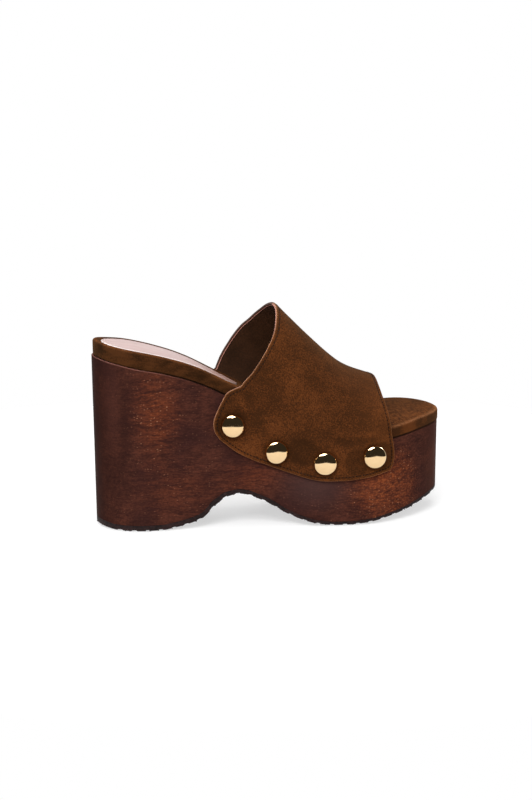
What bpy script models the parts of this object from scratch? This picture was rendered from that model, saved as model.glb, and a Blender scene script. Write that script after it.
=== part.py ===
"""A right-foot platform clog: wooden sole, rubber outsole, covered footbed, heel sock, suede upper and dome studs.

Sizes are in millimetres until a mesh is made. X runs from heel to toe with zero at mid-length, Y to the wearer's
left, which is the inner or medial side, and Z up from the floor.
"""

import math

import bmesh
import bpy
import numpy as np
from mathutils import Matrix, Vector

MM = 0.001

# Driving sizes of the whole shoe
LENGTH = 245.0
HALF = LENGTH / 2
DRAFT_HEEL = 0.017       # share by which the sole narrows from the heel seat down to the floor
DRAFT_TOE = 0.009
DRAFT_HEIGHT = 124.0     # height at which the outline has its full size
GAP = 0.3                # space left between two pieces that touch

# Round ends of the outline
HEEL_RADIUS = 31.0
TOE_REACH_LATERAL = 62.0
TOE_REACH_MEDIAL = 34.0
TOE_POWER_LATERAL = 2.0
TOE_POWER_MEDIAL = 2.2
TOE_SWING = 6.3          # how far the toe tip lies towards the medial side
TOE_SWING_START = 40.0

# One row for each section of the sole: half widths before the ends are rounded, the height of the
# footbed's top, the footbed's depth, and the height of the tread above the floor
SOLE_COLUMNS = ("x", "lateral", "medial", "footbed_top", "footbed_depth", "tread")
SOLE_SECTIONS = [
    (-122.5, 31.0, 31.0, 127.9, 11.0, 1.2),
    (-112.0, 31.0, 31.0, 125.2, 11.0, 0.0),
    (-95.0, 31.5, 31.5, 122.0, 11.6, 0.0),
    (-82.0, 31.3, 31.2, 118.9, 11.2, 0.0),
    (-74.0, 31.0, 30.7, 116.6, 11.1, 1.1),
    (-65.0, 30.7, 30.0, 113.7, 10.9, 2.9),
    (-54.0, 30.4, 29.0, 109.3, 10.6, 6.5),
    (-44.0, 30.2, 28.2, 104.3, 10.2, 15.5),
    (-36.0, 30.3, 27.7, 100.0, 10.0, 20.6),
    (-28.0, 30.6, 27.5, 95.8, 10.1, 22.0),
    (-11.5, 33.0, 29.0, 87.3, 10.7, 16.6),
    (4.4, 36.8, 32.5, 79.4, 10.5, 7.6),
    (20.0, 42.3, 37.2, 72.5, 9.9, 1.9),
    (28.0, 44.3, 39.3, 70.1, 9.5, 0.6),
    (36.0, 45.3, 41.2, 68.5, 9.1, 0.0),
    (46.0, 46.4, 43.6, 66.7, 8.5, 0.0),
    (60.0, 47.0, 45.2, 65.6, 8.0, 1.0),
    (75.0, 45.5, 45.0, 66.1, 8.0, 3.5),
    (90.0, 43.0, 45.0, 68.1, 8.5, 6.1),
    (105.0, 40.0, 44.0, 69.3, 8.3, 9.4),
    (122.5, 37.0, 41.0, 70.1, 8.1, 13.2),
]

# Rubber outsole
RUBBER_HEEL = 3.8        # lug and sheet together, as far as the waist begins
RUBBER_TOE = 2.4         # and from the ball of the foot on
RUBBER_THINS = (-60.0, 30.0)
LUG_DEPTH = 0.9
LUG_PITCH = 9.0
GROOVE_WIDTH = 2.4
GROOVE_SLOPE = 0.5
LUG_CENTRE = -97.0       # one lug stands in the middle of the heel's flat
LUG_FIRST, LUG_LAST = -2, 23

# Wood, footbed and heel sock
WOOD_EDGE = 0.7          # worn edge round the top of the wood
FOOTBED_INSET = 0.3
FOOTBED_FORWARD = 0.7    # the footbed sits a little towards the toe, so that wood shows behind the heel
FOOTBED_ROUND = 2.4
DISH_INSET = 5.6         # the footbed is a little hollow for the foot, inside this
DISH_DEPTH = 1.1
DISH_ENDS = (-10.0, 20.0)
SOCK_INSET = 6.8
SOCK_DEPTH = 0.9
SOCK_ROUND = 0.4
SOCK_FRONT = -23.0       # where the sock ends, just inside the collar
SOCK_FRONT_ROUND = 60.0

# Upper: one piece of lined suede, nailed to the side of the wood
LEATHER = 2.2
WALL_UNIT = 50.0         # millimetres of wall below the shoulder for one unit of turn
SHOULDER_RISE = 1.0      # the wall is upright to this height above the footbed
LEAN_FRONT = 0.2         # how much straighter than an ellipse the arch is at the toe opening
LEAN_START = 5.0
FULLNESS = 3.0           # the leather stands out over the narrow waist by this much
FULL_CENTRE = -12.0
FULL_LENGTH = 24.0
FULL_TURN = 1.3
RIDGE_SIDE = 1.0         # the ridge lies this far towards the medial side
RIDGE_COLUMNS = ("x", "height")
RIDGE = [
    (-46.0, 175.1),
    (-20.0, 162.6),
    (4.0, 147.2),
    (10.6, 140.7),
    (27.7, 123.9),
    (43.0, 110.1),
    (50.0, 104.9),
    (57.0, 101.2),
    (66.0, 97.8),
    (76.0, 94.5),
]
# Cut edges of the leather as (x, turn): turn is 0 on the ridge, 1 at the shoulder and more down the wall
COLLAR_LATERAL = [
    (3.5, 0.0), (2.8, 0.183), (-2.0, 0.466), (-9.2, 0.666), (-18.8, 0.858), (-26.1, 0.974), (-35.9, 1.16),
    (-40.0, 1.322), (-44.3, 1.544), (-46.0, 1.673), (-45.4, 1.793), (-42.0, 1.867),
]
COLLAR_MEDIAL = [
    (3.5, 0.0), (-0.2, 0.29), (-7.1, 0.497), (-14.4, 0.635), (-22.5, 0.793), (-28.7, 0.922), (-34.2, 1.084),
    (-38.8, 1.297), (-42.2, 1.518), (-43.4, 1.657), (-42.4, 1.777), (-38.7, 1.848),
]
LOWER_EDGE = [
    (-31.5, 1.922), (-21.4, 1.928), (-8.0, 1.894), (5.0, 1.861), (17.8, 1.823), (30.8, 1.779), (44.4, 1.724),
    (58.4, 1.666), (67.5, 1.629),
]
FRONT_EDGE = [
    (74.4, 0.0), (72.8, 0.3), (72.5, 0.55), (74.3, 1.0), (76.5, 1.25), (77.4, 1.38), (77.0, 1.49), (75.8, 1.56),
    (73.2, 1.61),
]
UPPER_ALONG = 30
UPPER_AROUND = 22

# Studs: hollow brass domes nailed through the leather
STUD_RADIUS = 8.1
STUD_HEIGHT = 4.4
STUD_POWER = 2.5
STUD_RINGS = 5
STUD_SIDES = 20
STUD_PLACES = [(-33.4, 70.0), (-3.7, 51.4), (27.8, 44.0), (61.7, 47.4)]

LATERAL, MEDIAL = -1, 1

# Colours as linear red, green and blue, then roughness and metal
FINISHES = {
    "wood": ((0.070, 0.024, 0.014), 0.38, 0.0),
    "rubber": ((0.018, 0.012, 0.011), 0.75, 0.0),
    "suede": ((0.080, 0.036, 0.013), 0.95, 0.0),
    "sock_leather": ((0.700, 0.560, 0.530), 0.55, 0.0),
    "gold": ((0.850, 0.600, 0.270), 0.12, 1.0),
}


def monotone(xs, ys, x):
    """Cubic curve through a table's points that never overshoots between two rows."""
    xs, ys = np.asarray(xs, float), np.asarray(ys, float)
    step = np.diff(xs)
    rise = np.diff(ys) / step
    slope = np.zeros(len(xs))
    slope[0], slope[-1] = rise[0], rise[-1]
    for i in range(1, len(xs) - 1):
        if rise[i - 1] * rise[i] > 0:
            slope[i] = 2 * rise[i - 1] * rise[i] / (rise[i - 1] + rise[i])
    i = int(np.clip(np.searchsorted(xs, x) - 1, 0, len(xs) - 2))
    t = (x - xs[i]) / step[i]
    start = (1 + 2 * t) * (1 - t) ** 2 * ys[i] + t * (1 - t) ** 2 * step[i] * slope[i]
    end = t * t * (3 - 2 * t) * ys[i + 1] + t * t * (t - 1) * step[i] * slope[i + 1]
    return float(start + end)


def sole(column, x):
    """A column of the sole's table at any x."""
    rows = np.array(SOLE_SECTIONS)
    return monotone(rows[:, 0], rows[:, SOLE_COLUMNS.index(column)], x)


def side(x, hand, inset=0.0):
    """Y of the sole's outline, inset from the edge by that much, or outset where it is negative."""
    half = HALF - inset
    heel = np.clip((x + half) / (HEEL_RADIUS - inset), 0, 1)
    reach = (TOE_REACH_LATERAL if hand == LATERAL else TOE_REACH_MEDIAL) - inset
    power = TOE_POWER_LATERAL if hand == LATERAL else TOE_POWER_MEDIAL
    toe = np.clip((half - x) / reach, 0, 1)
    rounded = math.sqrt(1 - (1 - heel) ** 2) * (1 - (1 - toe) ** power) ** (1 / power)
    width = sole("lateral" if hand == LATERAL else "medial", x) - inset
    swing = np.clip((x - TOE_SWING_START) / (HALF - TOE_SWING_START), 0, 1)
    return float(hand * width * rounded + TOE_SWING * swing**2)


def drafted(x, y, z):
    """A point of the shoe after the sole's narrowing towards the floor, in metres."""
    draft = DRAFT_HEEL + (DRAFT_TOE - DRAFT_HEEL) * np.clip((x + HALF) / LENGTH, 0, 1)
    k = 1 - draft * max(0.0, 1 - z / DRAFT_HEIGHT)
    return Vector((float(x * k), float(y * k), z)) * MM


def wood_top(x):
    return sole("footbed_top", x) - sole("footbed_depth", x) - GAP


def tread_slope(x, reach=0.5):
    return (sole("tread", min(x + reach, HALF)) - sole("tread", max(x - reach, -HALF))) / (2 * reach)


def rubber(x):
    """Depth of the outsole, which is thinner under the forefoot."""
    return float(np.interp(x, RUBBER_THINS, (RUBBER_HEEL, RUBBER_TOE)))


def above_tread(x, depth):
    """Height at a depth above the tread, measured square to it."""
    return sole("tread", x) + depth * math.hypot(1.0, tread_slope(x))


def end_stations(count, radius, inset):
    """Distances from a round end that follow equal turns of its arc."""
    turns = np.linspace(0.06, 1.0, count) * math.pi / 2
    return [(radius - inset) * (1 - math.cos(a)) for a in turns]


def stations(inset=0.0, middle=26, heel=9, toe=10, front=None):
    """Places along the shoe, close together at the round ends. A front cuts the run short of the toe."""
    back = [-HALF + inset + d for d in end_stations(heel, HEEL_RADIUS, inset)]
    if front is None:
        ahead = [HALF - inset - d for d in end_stations(toe, TOE_REACH_MEDIAL, inset)][::-1]
    else:
        ahead = [front - d for d in end_stations(toe, SOCK_FRONT_ROUND, 0.0)][::-1]
    between = np.linspace(back[-1], ahead[0], middle + 2)[1:-1]
    return [*back, *between, *ahead]


def ring(places, inset, height, width=None):
    """A closed loop round the outline: lateral side from heel to toe, then medial side back again."""
    share = width or (lambda x: 1.0)
    loop = [drafted(x, side(x, LATERAL, inset) * share(x), height(x)) for x in places]
    loop += [drafted(x, side(x, MEDIAL, inset) * share(x), height(x)) for x in reversed(places)]
    return loop


def finish_material(name):
    material = bpy.data.materials.get(name)
    if material is None:
        colour, roughness, metal = FINISHES[name]
        material = bpy.data.materials.new(name)
        material.use_nodes = True
        shader = material.node_tree.nodes["Principled BSDF"]
        shader.inputs["Base Color"].default_value = (*colour, 1.0)
        shader.inputs["Roughness"].default_value = roughness
        shader.inputs["Metallic"].default_value = metal
    return material


def new_object(name, mesh, finish, shoe):
    mesh.materials.append(finish_material(finish))
    mesh.shade_smooth()
    mesh.set_sharp_from_angle(angle=math.radians(35))
    item = bpy.data.objects.new(name, mesh)
    item.parent = shoe
    bpy.context.scene.collection.objects.link(item)
    return item


def stacked_mesh(name, rings):
    """A closed solid skinned over rings from bottom to top, each with as many points on either side."""
    body = bmesh.new()
    loops = [[body.verts.new(point) for point in points] for points in rings]
    count = len(loops[0])
    for low, high in zip(loops, loops[1:]):
        for i in range(count):
            j = (i + 1) % count
            body.faces.new((low[i], low[j], high[j], high[i]))
    for i in range(count // 2 - 1):
        across = count - 1 - i
        bottom, top = loops[0], loops[-1]
        body.faces.new((bottom[i], bottom[across], bottom[across - 1], bottom[i + 1]))
        body.faces.new((top[i], top[i + 1], top[across - 1], top[across]))
    bmesh.ops.recalc_face_normals(body, faces=body.faces)
    mesh = bpy.data.meshes.new(name)
    body.to_mesh(mesh)
    body.free()
    return mesh


def rounded_rings(places_at, inset, base, top, radius, steps, width=None):
    """Rings of a slab whose top edge is rounded all the way round."""
    rings = [ring(places_at(inset), inset, base, width)]
    for turn in np.linspace(0, math.pi / 2, steps + 1):
        into = inset + radius * (1 - math.cos(turn))
        drop = radius * (1 - math.sin(turn))
        rings.append(ring(places_at(into), into, lambda x, drop=drop: top(x) - drop, width))
    return rings


def wood_sole(shoe):
    """The carved block: heel, waist and platform in one piece of wood."""
    def base(x):
        return above_tread(x, rubber(x) + GAP)

    along = [x for x, _ in lug_places()]

    def places_at(inset):
        return [x * (1 - inset / HALF) for x in along]

    rings = rounded_rings(places_at, 0.0, base, wood_top, WOOD_EDGE, 1)
    return new_object("wood_sole", stacked_mesh("wood_sole", rings), "wood", shoe)


def lug_places():
    """Stations of the outsole with four at each groove, and the share of lug depth cut away at each."""
    places = [(x, 0.0) for x in stations(middle=0)]
    for i in range(LUG_FIRST, LUG_LAST + 1):
        centre = LUG_CENTRE + (i + 0.5) * LUG_PITCH
        half = GROOVE_WIDTH / 2
        corners = ((-half - GROOVE_SLOPE, 0.0), (-half, 1.0), (half, 1.0), (half + GROOVE_SLOPE, 0.0))
        grooves = [(centre + offset, cut) for offset, cut in corners]
        places = [p for p in places if abs(p[0] - centre) > half + 2 * GROOVE_SLOPE]
        places += grooves
    return sorted(places)


def rubber_outsole(shoe):
    """A thin rubber sheet under the whole sole, with lugs across it from edge to edge."""
    places = lug_places()
    along = [x for x, _ in places]
    cut = dict(places)

    def tread(x):
        return above_tread(x, cut[x] * LUG_DEPTH)

    def top(x):
        return above_tread(x, rubber(x))

    rings = [ring(along, 0.0, tread), ring(along, 0.0, top)]
    return new_object("rubber_outsole", stacked_mesh("rubber_outsole", rings), "rubber", shoe)


def dish(x):
    """Depth of the footbed's hollow, which runs out under the ball of the foot."""
    return float(np.interp(x, DISH_ENDS, (DISH_DEPTH, 0.0)))


def footbed(shoe):
    """A firm board and pad wrapped in suede, as wide as the wood all but a narrow ledge."""
    def base(x):
        return top(x) - sole("footbed_depth", min(x + FOOTBED_FORWARD, HALF))

    def top(x):
        return sole("footbed_top", min(x + FOOTBED_FORWARD, HALF))

    def hollow(x):
        return top(x) - dish(x + FOOTBED_FORWARD)

    rings = rounded_rings(stations, FOOTBED_INSET, base, top, FOOTBED_ROUND, 3)
    rings.append(ring(stations(DISH_INSET), DISH_INSET, hollow))
    ahead = Vector((FOOTBED_FORWARD * MM, 0, 0))
    rings = [[point + ahead for point in points] for points in rings]
    return new_object("footbed", stacked_mesh("footbed", rings), "suede", shoe)


def heel_sock(shoe):
    """The smooth leather sock stuck on the footbed from the heel to just inside the collar."""
    def places_at(inset):
        return stations(inset, middle=14, toe=7, front=SOCK_FRONT - (inset - SOCK_INSET))

    def base(x):
        return sole("footbed_top", x) - dish(x) + GAP

    def top(x):
        return base(x) + SOCK_DEPTH

    def width(x):
        ahead = np.clip((SOCK_FRONT - x) / SOCK_FRONT_ROUND, 0, 1)
        return math.sqrt(1 - (1 - ahead) ** 2)

    rings = rounded_rings(places_at, SOCK_INSET, base, top, SOCK_ROUND, 1, width)
    return new_object("heel_sock", stacked_mesh("heel_sock", rings), "sock_leather", shoe)


def bunched(count, share):
    """Parameters from 0 to 1 that lie closer together at both ends."""
    even = np.linspace(0, 1, count)
    return even - share * np.sin(2 * math.pi * even) / (2 * math.pi)


def through(points, places):
    """Points at those shares of the length of a smooth curve through the given (x, turn) points."""
    knots = np.array(points, float) * (1.0, WALL_UNIT)
    before = knots[1] * (1, -1) if knots[0][1] == 0 else 2 * knots[0] - knots[1]
    padded = np.vstack([before, knots, 2 * knots[-1] - knots[-2]])
    fine = []
    for a, b, c, d in zip(padded, padded[1:], padded[2:], padded[3:]):
        for t in np.linspace(0, 1, 24, endpoint=False):
            even = 2 * b + (c - a) * t
            bend = (2 * a - 5 * b + 4 * c - d) * t**2 + (3 * b - a - 3 * c + d) * t**3
            fine.append((even + bend) / 2)
    fine = np.array([*fine, knots[-1]])
    run = np.concatenate([[0], np.cumsum(np.linalg.norm(np.diff(fine, axis=0), axis=1))])
    at = places * run[-1]
    return np.stack([np.interp(at, run, fine[:, 0]), np.interp(at, run, fine[:, 1]) / WALL_UNIT], 1)


def cut_pattern(hand):
    """The half pattern of the leather as rows of (x, turn) from the ridge to the lower edge."""
    collar = COLLAR_LATERAL if hand == LATERAL else COLLAR_MEDIAL
    along = bunched(UPPER_ALONG, 0.4)
    around = bunched(UPPER_AROUND, 0.5)
    back = through(collar, around)
    front = through(FRONT_EDGE, around)
    ridge = back[0] + along[:, None] * (front[0] - back[0])
    ahead = [p for p in LOWER_EDGE if p[0] > collar[-1][0] + STUD_HEIGHT]
    lower = through([collar[-1], *ahead, FRONT_EDGE[-1]], along)
    u = along[None, :, None]
    v = around[:, None, None]
    ruled = (1 - v) * ridge[None] + v * lower[None] + (1 - u) * back[:, None] + u * front[:, None]
    corners = (1 - u) * (1 - v) * ridge[0] + u * (1 - v) * ridge[-1] + (1 - u) * v * lower[0] + u * v * lower[-1]
    return ruled - corners


def shoulder(x):
    return sole("footbed_top", x) + SHOULDER_RISE


def vault(x, turn, hand):
    """A point of the leather's outer face: an arch over the foot, then an upright wall beside the wood."""
    ridge = np.array(RIDGE)
    swell = math.sin(math.pi * np.clip(turn / FULL_TURN, 0, 1)) ** 2
    swell *= FULLNESS * math.exp(-(((x - FULL_CENTRE) / FULL_LENGTH) ** 2))
    wall = side(x, hand, -GAP - LEATHER) - RIDGE_SIDE
    if turn >= 1:
        return drafted(x, RIDGE_SIDE + wall + hand * swell, shoulder(x) - (turn - 1) * WALL_UNIT)
    rise = monotone(ridge[:, 0], ridge[:, 1], x) - shoulder(x)
    angle = (1 - max(turn, 0.0)) * math.pi / 2
    lean = LEAN_FRONT * np.clip((x - LEAN_START) / (FRONT_EDGE[0][0] - LEAN_START), 0, 1)
    out = math.cos(angle)
    up = (1 - lean) * math.sin(angle) + lean * (1 + math.cos(math.pi * out)) / 2
    return drafted(x, RIDGE_SIDE + wall * out + hand * swell, shoulder(x) + rise * up)


def upper(shoe):
    """The leather's outer face as one grid from lateral to medial lower edge, thickened inwards."""
    lateral = [[vault(x, turn, LATERAL) for x, turn in row] for row in cut_pattern(LATERAL)]
    medial = [[vault(x, turn, MEDIAL) for x, turn in row] for row in cut_pattern(MEDIAL)]
    rows = [*reversed(lateral), *medial[1:]]
    body = bmesh.new()
    grid = [[body.verts.new(point) for point in row] for row in rows]
    for low, high in zip(grid, grid[1:]):
        for i in range(UPPER_ALONG - 1):
            body.faces.new((low[i], low[i + 1], high[i + 1], high[i]))
    mesh = bpy.data.meshes.new("upper")
    body.to_mesh(mesh)
    body.free()
    item = new_object("upper", mesh, "suede", shoe)
    wall = item.modifiers.new("wall", "SOLIDIFY")
    wall.thickness = LEATHER * MM
    wall.offset = -1
    wall.use_even_offset = True
    return item


def stud_mesh():
    """A dome spun about Z from its flat back, at Z zero, to its crown."""
    turns = np.linspace(0, math.pi / 2, STUD_RINGS + 1)
    profile = [(0.0, 0.0)]
    profile += [(math.cos(a) ** (2 / STUD_POWER), math.sin(a) ** (2 / STUD_POWER)) for a in turns[:-1]]
    profile += [(0.0, 1.0)]
    body = bmesh.new()
    points = [body.verts.new((out * STUD_RADIUS * MM, 0, up * STUD_HEIGHT * MM)) for out, up in profile]
    edges = [body.edges.new(pair) for pair in zip(points, points[1:])]
    bmesh.ops.spin(
        body, geom=[*points, *edges], axis=(0, 0, 1), cent=(0, 0, 0), steps=STUD_SIDES, angle=2 * math.pi,
        use_merge=True,
    )
    bmesh.ops.remove_doubles(body, verts=body.verts, dist=1e-6)
    bmesh.ops.recalc_face_normals(body, faces=body.faces)
    mesh = bpy.data.meshes.new("stud")
    body.to_mesh(mesh)
    body.free()
    return mesh


def stud_seat(x, z, hand):
    """Where a stud's back lies on the leather: its centre, and the way that it faces."""
    turn = 1 + (shoulder(x) - z) / WALL_UNIT
    centre = vault(x, turn, hand)
    reach = STUD_RADIUS
    before = vault(x - reach, 1 + (shoulder(x - reach) - z) / WALL_UNIT, hand)
    after = vault(x + reach, 1 + (shoulder(x + reach) - z) / WALL_UNIT, hand)
    above = vault(x, turn - reach / WALL_UNIT, hand)
    facing = (after - before).cross(above - centre).normalized() * -hand
    proud = max((before - centre).dot(facing), (after - centre).dot(facing), 0.0)
    return centre + facing * (proud + GAP * MM), facing


def studs(shoe):
    made = []
    for word, hand in (("lateral", LATERAL), ("medial", MEDIAL)):
        for number, (x, z) in enumerate(STUD_PLACES, 1):
            seat, facing = stud_seat(x, z, hand)
            item = new_object(f"stud_{word}_{number}", stud_mesh(), "gold", shoe)
            turn = facing.to_track_quat("Z", "Y").to_matrix().to_4x4()
            item.matrix_local = Matrix.Translation(seat) @ turn
            made.append(item)
    return made


def centre_on_floor(shoe, pieces):
    """Moves the shoe so that the middle of its box is over the origin and its tread is on the floor."""
    bpy.context.view_layer.update()
    scene = bpy.context.evaluated_depsgraph_get()
    corners = []
    for item in pieces:
        solid = item.evaluated_get(scene)
        mesh = solid.to_mesh()
        corners += [solid.matrix_world @ v.co for v in mesh.vertices]
        solid.to_mesh_clear()
    low = Vector(min(c[i] for c in corners) for i in range(3))
    high = Vector(max(c[i] for c in corners) for i in range(3))
    middle = (low + high) / 2
    shoe.location = (-middle.x, -middle.y, -low.z)


def main():
    for item in list(bpy.data.objects):
        bpy.data.objects.remove(item)
    shoe = bpy.data.objects.new("clog", None)
    bpy.context.scene.collection.objects.link(shoe)
    pieces = [wood_sole(shoe), rubber_outsole(shoe), footbed(shoe), heel_sock(shoe), upper(shoe), *studs(shoe)]
    centre_on_floor(shoe, pieces)


main()
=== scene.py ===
import math

import bmesh
import bpy
import numpy as np
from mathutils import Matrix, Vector
from mathutils.kdtree import KDTree


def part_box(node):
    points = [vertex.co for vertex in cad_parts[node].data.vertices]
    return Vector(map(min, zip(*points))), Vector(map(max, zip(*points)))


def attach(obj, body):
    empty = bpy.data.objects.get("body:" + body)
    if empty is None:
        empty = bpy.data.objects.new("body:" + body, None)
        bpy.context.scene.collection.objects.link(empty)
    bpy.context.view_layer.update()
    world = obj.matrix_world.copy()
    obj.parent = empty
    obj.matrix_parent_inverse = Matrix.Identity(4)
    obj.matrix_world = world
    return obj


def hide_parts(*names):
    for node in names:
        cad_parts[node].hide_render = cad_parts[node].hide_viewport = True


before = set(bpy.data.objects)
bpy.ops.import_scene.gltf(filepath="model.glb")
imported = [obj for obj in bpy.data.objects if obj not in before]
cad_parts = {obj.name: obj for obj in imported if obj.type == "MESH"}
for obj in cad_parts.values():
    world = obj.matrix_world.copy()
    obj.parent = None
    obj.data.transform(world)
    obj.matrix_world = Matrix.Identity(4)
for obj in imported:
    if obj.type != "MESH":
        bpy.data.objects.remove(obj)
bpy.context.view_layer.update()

# Camera
# A long lens looks at the outer side of the shoe, from a little behind the heel and a little above the
# footbed. The picture is taken to be 532 pixels wide and 800 high.
CAMERA_AZIMUTH = math.radians(-13.5)
CAMERA_ELEVATION = math.radians(11.2)
CAMERA_DISTANCE = 1.396
CAMERA_TARGET = Vector((-0.0023, 0.0005, 0.0801))
CAMERA_LENS = 91.4
CAMERA_SENSOR = 36.0

towards = Vector((
    math.sin(CAMERA_AZIMUTH) * math.cos(CAMERA_ELEVATION),
    -math.cos(CAMERA_AZIMUTH) * math.cos(CAMERA_ELEVATION),
    math.sin(CAMERA_ELEVATION),
))
camera = bpy.data.objects.new("camera", bpy.data.cameras.new("camera"))
bpy.context.scene.collection.objects.link(camera)
camera.location = CAMERA_TARGET + towards * CAMERA_DISTANCE
camera.rotation_euler = towards.to_track_quat("Z", "Y").to_euler()
camera.data.lens = CAMERA_LENS
camera.data.sensor_width = CAMERA_SENSOR
bpy.context.scene.camera = camera

# Studio
# A round white table top ends softly a short way round the shoe. The room is white for the lens and dark in
# reflections. Soft boxes stand all round, and bright cards show only in polished things.
FLOOR_RADIUS = 1.2
FLOOR_SIDES = 96
FLOOR_DROP = 0.0001
FLOOR_FADE = (0.39, 0.43)
FLOOR_GREY = 0.45
FLOOR_GLOW = 0.60
ROOM_FILL = (0.30, 0.30, 0.30, 1.0)
ROOM_DARK = (0.034, 0.031, 0.027, 1.0)
ROOM_BACK = (0.80, 0.80, 0.80, 1.0)
ROOM_WHITE = (1.0, 1.0, 1.0, 1.0)
ROOM_BACK_FADE = (0.15, 0.40)
LIGHT_TARGET = Vector((0, 0, 0.07))
SOFT_BOXES = (
    # name, place, width, length, power, whether it lights matt things, whether polished things show it
    ("box_overhead", (0.05, 0.20, 1.45), 1.0, 0.8, 6.0, True, False),
    ("box_front", (-0.60, -1.15, 1.18), 1.05, 0.85, 28.5, True, False),
    ("box_toe", (1.10, -0.55, 0.70), 0.4, 0.8, 3.0, True, False),
    ("box_heel", (-1.15, -0.10, 0.60), 0.30, 0.8, 2.0, True, False),
    ("box_back", (0.15, 1.20, 1.00), 0.9, 0.6, 5.0, True, False),
    ("card_overhead", (-0.34, -0.22, 1.40), 1.20, 0.90, 34.0, False, True),
    ("card_left", (-1.10, 0.55, 0.95), 0.60, 0.50, 12.0, False, True),
    ("card_right", (1.10, 0.60, 0.80), 0.60, 0.50, 12.0, False, True),
)


class Wire:
    """A socket of a node tree. Arithmetic on it adds Math nodes, and node() adds any other node."""

    def __init__(self, tree, socket=None):
        self.tree = tree
        self.socket = socket

    def node(self, kind, settings=None, values=None, output=0):
        """A node of any type: its settings are set first, then its sockets get a value or a link."""
        made = self.tree.nodes.new(kind)
        for name, value in (settings or {}).items():
            setattr(made, name, value)
        for name, value in (values or {}).items():
            if isinstance(value, Wire):
                self.tree.links.new(value.socket, made.inputs[name])
            else:
                made.inputs[name].default_value = value
        return Wire(self.tree, made.outputs[output])

    def into(self, socket):
        """Links this wire to the input of a node."""
        self.tree.links.new(self.socket, socket)

    def maths(self, operation, first, second):
        """A Math node on two wires or numbers."""
        return self.node("ShaderNodeMath", {"operation": operation}, {0: first, 1: second})

    def __add__(self, other):
        return self.maths("ADD", self, other)

    def __sub__(self, other):
        return self.maths("SUBTRACT", self, other)

    def __rsub__(self, other):
        return self.maths("SUBTRACT", other, self)

    def __mul__(self, other):
        return self.maths("MULTIPLY", self, other)

    __radd__ = __add__
    __rmul__ = __mul__


def blend(mask, first, second):
    """The first colour where the mask is 0 and the second where it is 1."""
    return mask.node("ShaderNodeMix", {"data_type": "RGBA"}, {0: mask, 6: first, 7: second}, 2)


def smooth(value, low, high):
    """An even swing from 0 at low to 1 at high, either of which may be the greater."""
    return value.node("ShaderNodeMapRange", {"interpolation_type": "SMOOTHSTEP"}, {0: value, 1: low, 2: high})


def axis(place, letter):
    """One part of a place or a direction: X, Y or Z."""
    return place.node("ShaderNodeSeparateXYZ", values={0: place}, output=letter)


def new_object(name, mesh):
    """An object at the origin that shows a mesh."""
    item = bpy.data.objects.new(name, mesh)
    bpy.context.scene.collection.objects.link(item)
    return item


room = bpy.data.worlds.new("studio")
room.use_nodes = True
room.node_tree.nodes.clear()
air = Wire(room.node_tree)
seen_by_lens = air.node("ShaderNodeLightPath", output="Is Camera Ray")
seen_in_gloss = air.node("ShaderNodeLightPath", output="Is Glossy Ray")
direction = air.node("ShaderNodeTexCoord", output="Generated")
in_gloss = blend(smooth(axis(direction, "Y"), *ROOM_BACK_FADE), ROOM_DARK, ROOM_BACK)
room_colour = blend(seen_by_lens, blend(seen_in_gloss, ROOM_FILL, in_gloss), ROOM_WHITE)
background = air.node("ShaderNodeBackground", values={"Color": room_colour})
background.into(room.node_tree.nodes.new("ShaderNodeOutputWorld").inputs["Surface"])
bpy.context.scene.world = room
bpy.context.scene.view_settings.view_transform = "Standard"

top = bmesh.new()
bmesh.ops.create_circle(top, cap_ends=True, segments=FLOOR_SIDES, radius=FLOOR_RADIUS)
bmesh.ops.translate(top, verts=top.verts, vec=(0, 0, -FLOOR_DROP))
floor_mesh = bpy.data.meshes.new("floor")
top.to_mesh(floor_mesh)
top.free()
floor = new_object("floor", floor_mesh)
paint = bpy.data.materials.new("white_table")
paint.use_nodes = True
paint.node_tree.nodes.clear()
board = Wire(paint.node_tree)
spot = board.node("ShaderNodeTexCoord", output="Object")
away = spot.node("ShaderNodeVectorMath", {"operation": "LENGTH"}, {0: spot}, "Value")
matt = board.node("ShaderNodeBsdfDiffuse", values={"Color": (FLOOR_GREY, FLOOR_GREY, FLOOR_GREY, 1.0)})
lit = board.node("ShaderNodeEmission", values={"Strength": FLOOR_GLOW})
lit = board.node("ShaderNodeAddShader", values={0: matt, 1: lit})
clear = board.node("ShaderNodeBsdfTransparent")
top_shader = board.node("ShaderNodeMixShader", values={0: smooth(away, *FLOOR_FADE), 1: lit, 2: clear})
top_shader.into(paint.node_tree.nodes.new("ShaderNodeOutputMaterial").inputs["Surface"])
floor_mesh.materials.append(paint)

for name, place, width, length, power, lights, shows in SOFT_BOXES:
    lamp = bpy.data.lights.new(name, "AREA")
    lamp.shape = "RECTANGLE"
    lamp.size = width
    lamp.size_y = length
    lamp.energy = power
    box = bpy.data.objects.new(name, lamp)
    bpy.context.scene.collection.objects.link(box)
    box.visible_diffuse = lights
    box.visible_glossy = shows
    box.location = place
    box.rotation_euler = (Vector(place) - LIGHT_TARGET).to_track_quat("Z", "Y").to_euler()

# Wooden sole
# Heel, waist and platform are carved from one block of wood, sanded, stained a dark red brown and waxed.
# The outline is one loop round the foot, drawn in a little towards the floor.
MM = 0.001
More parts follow.
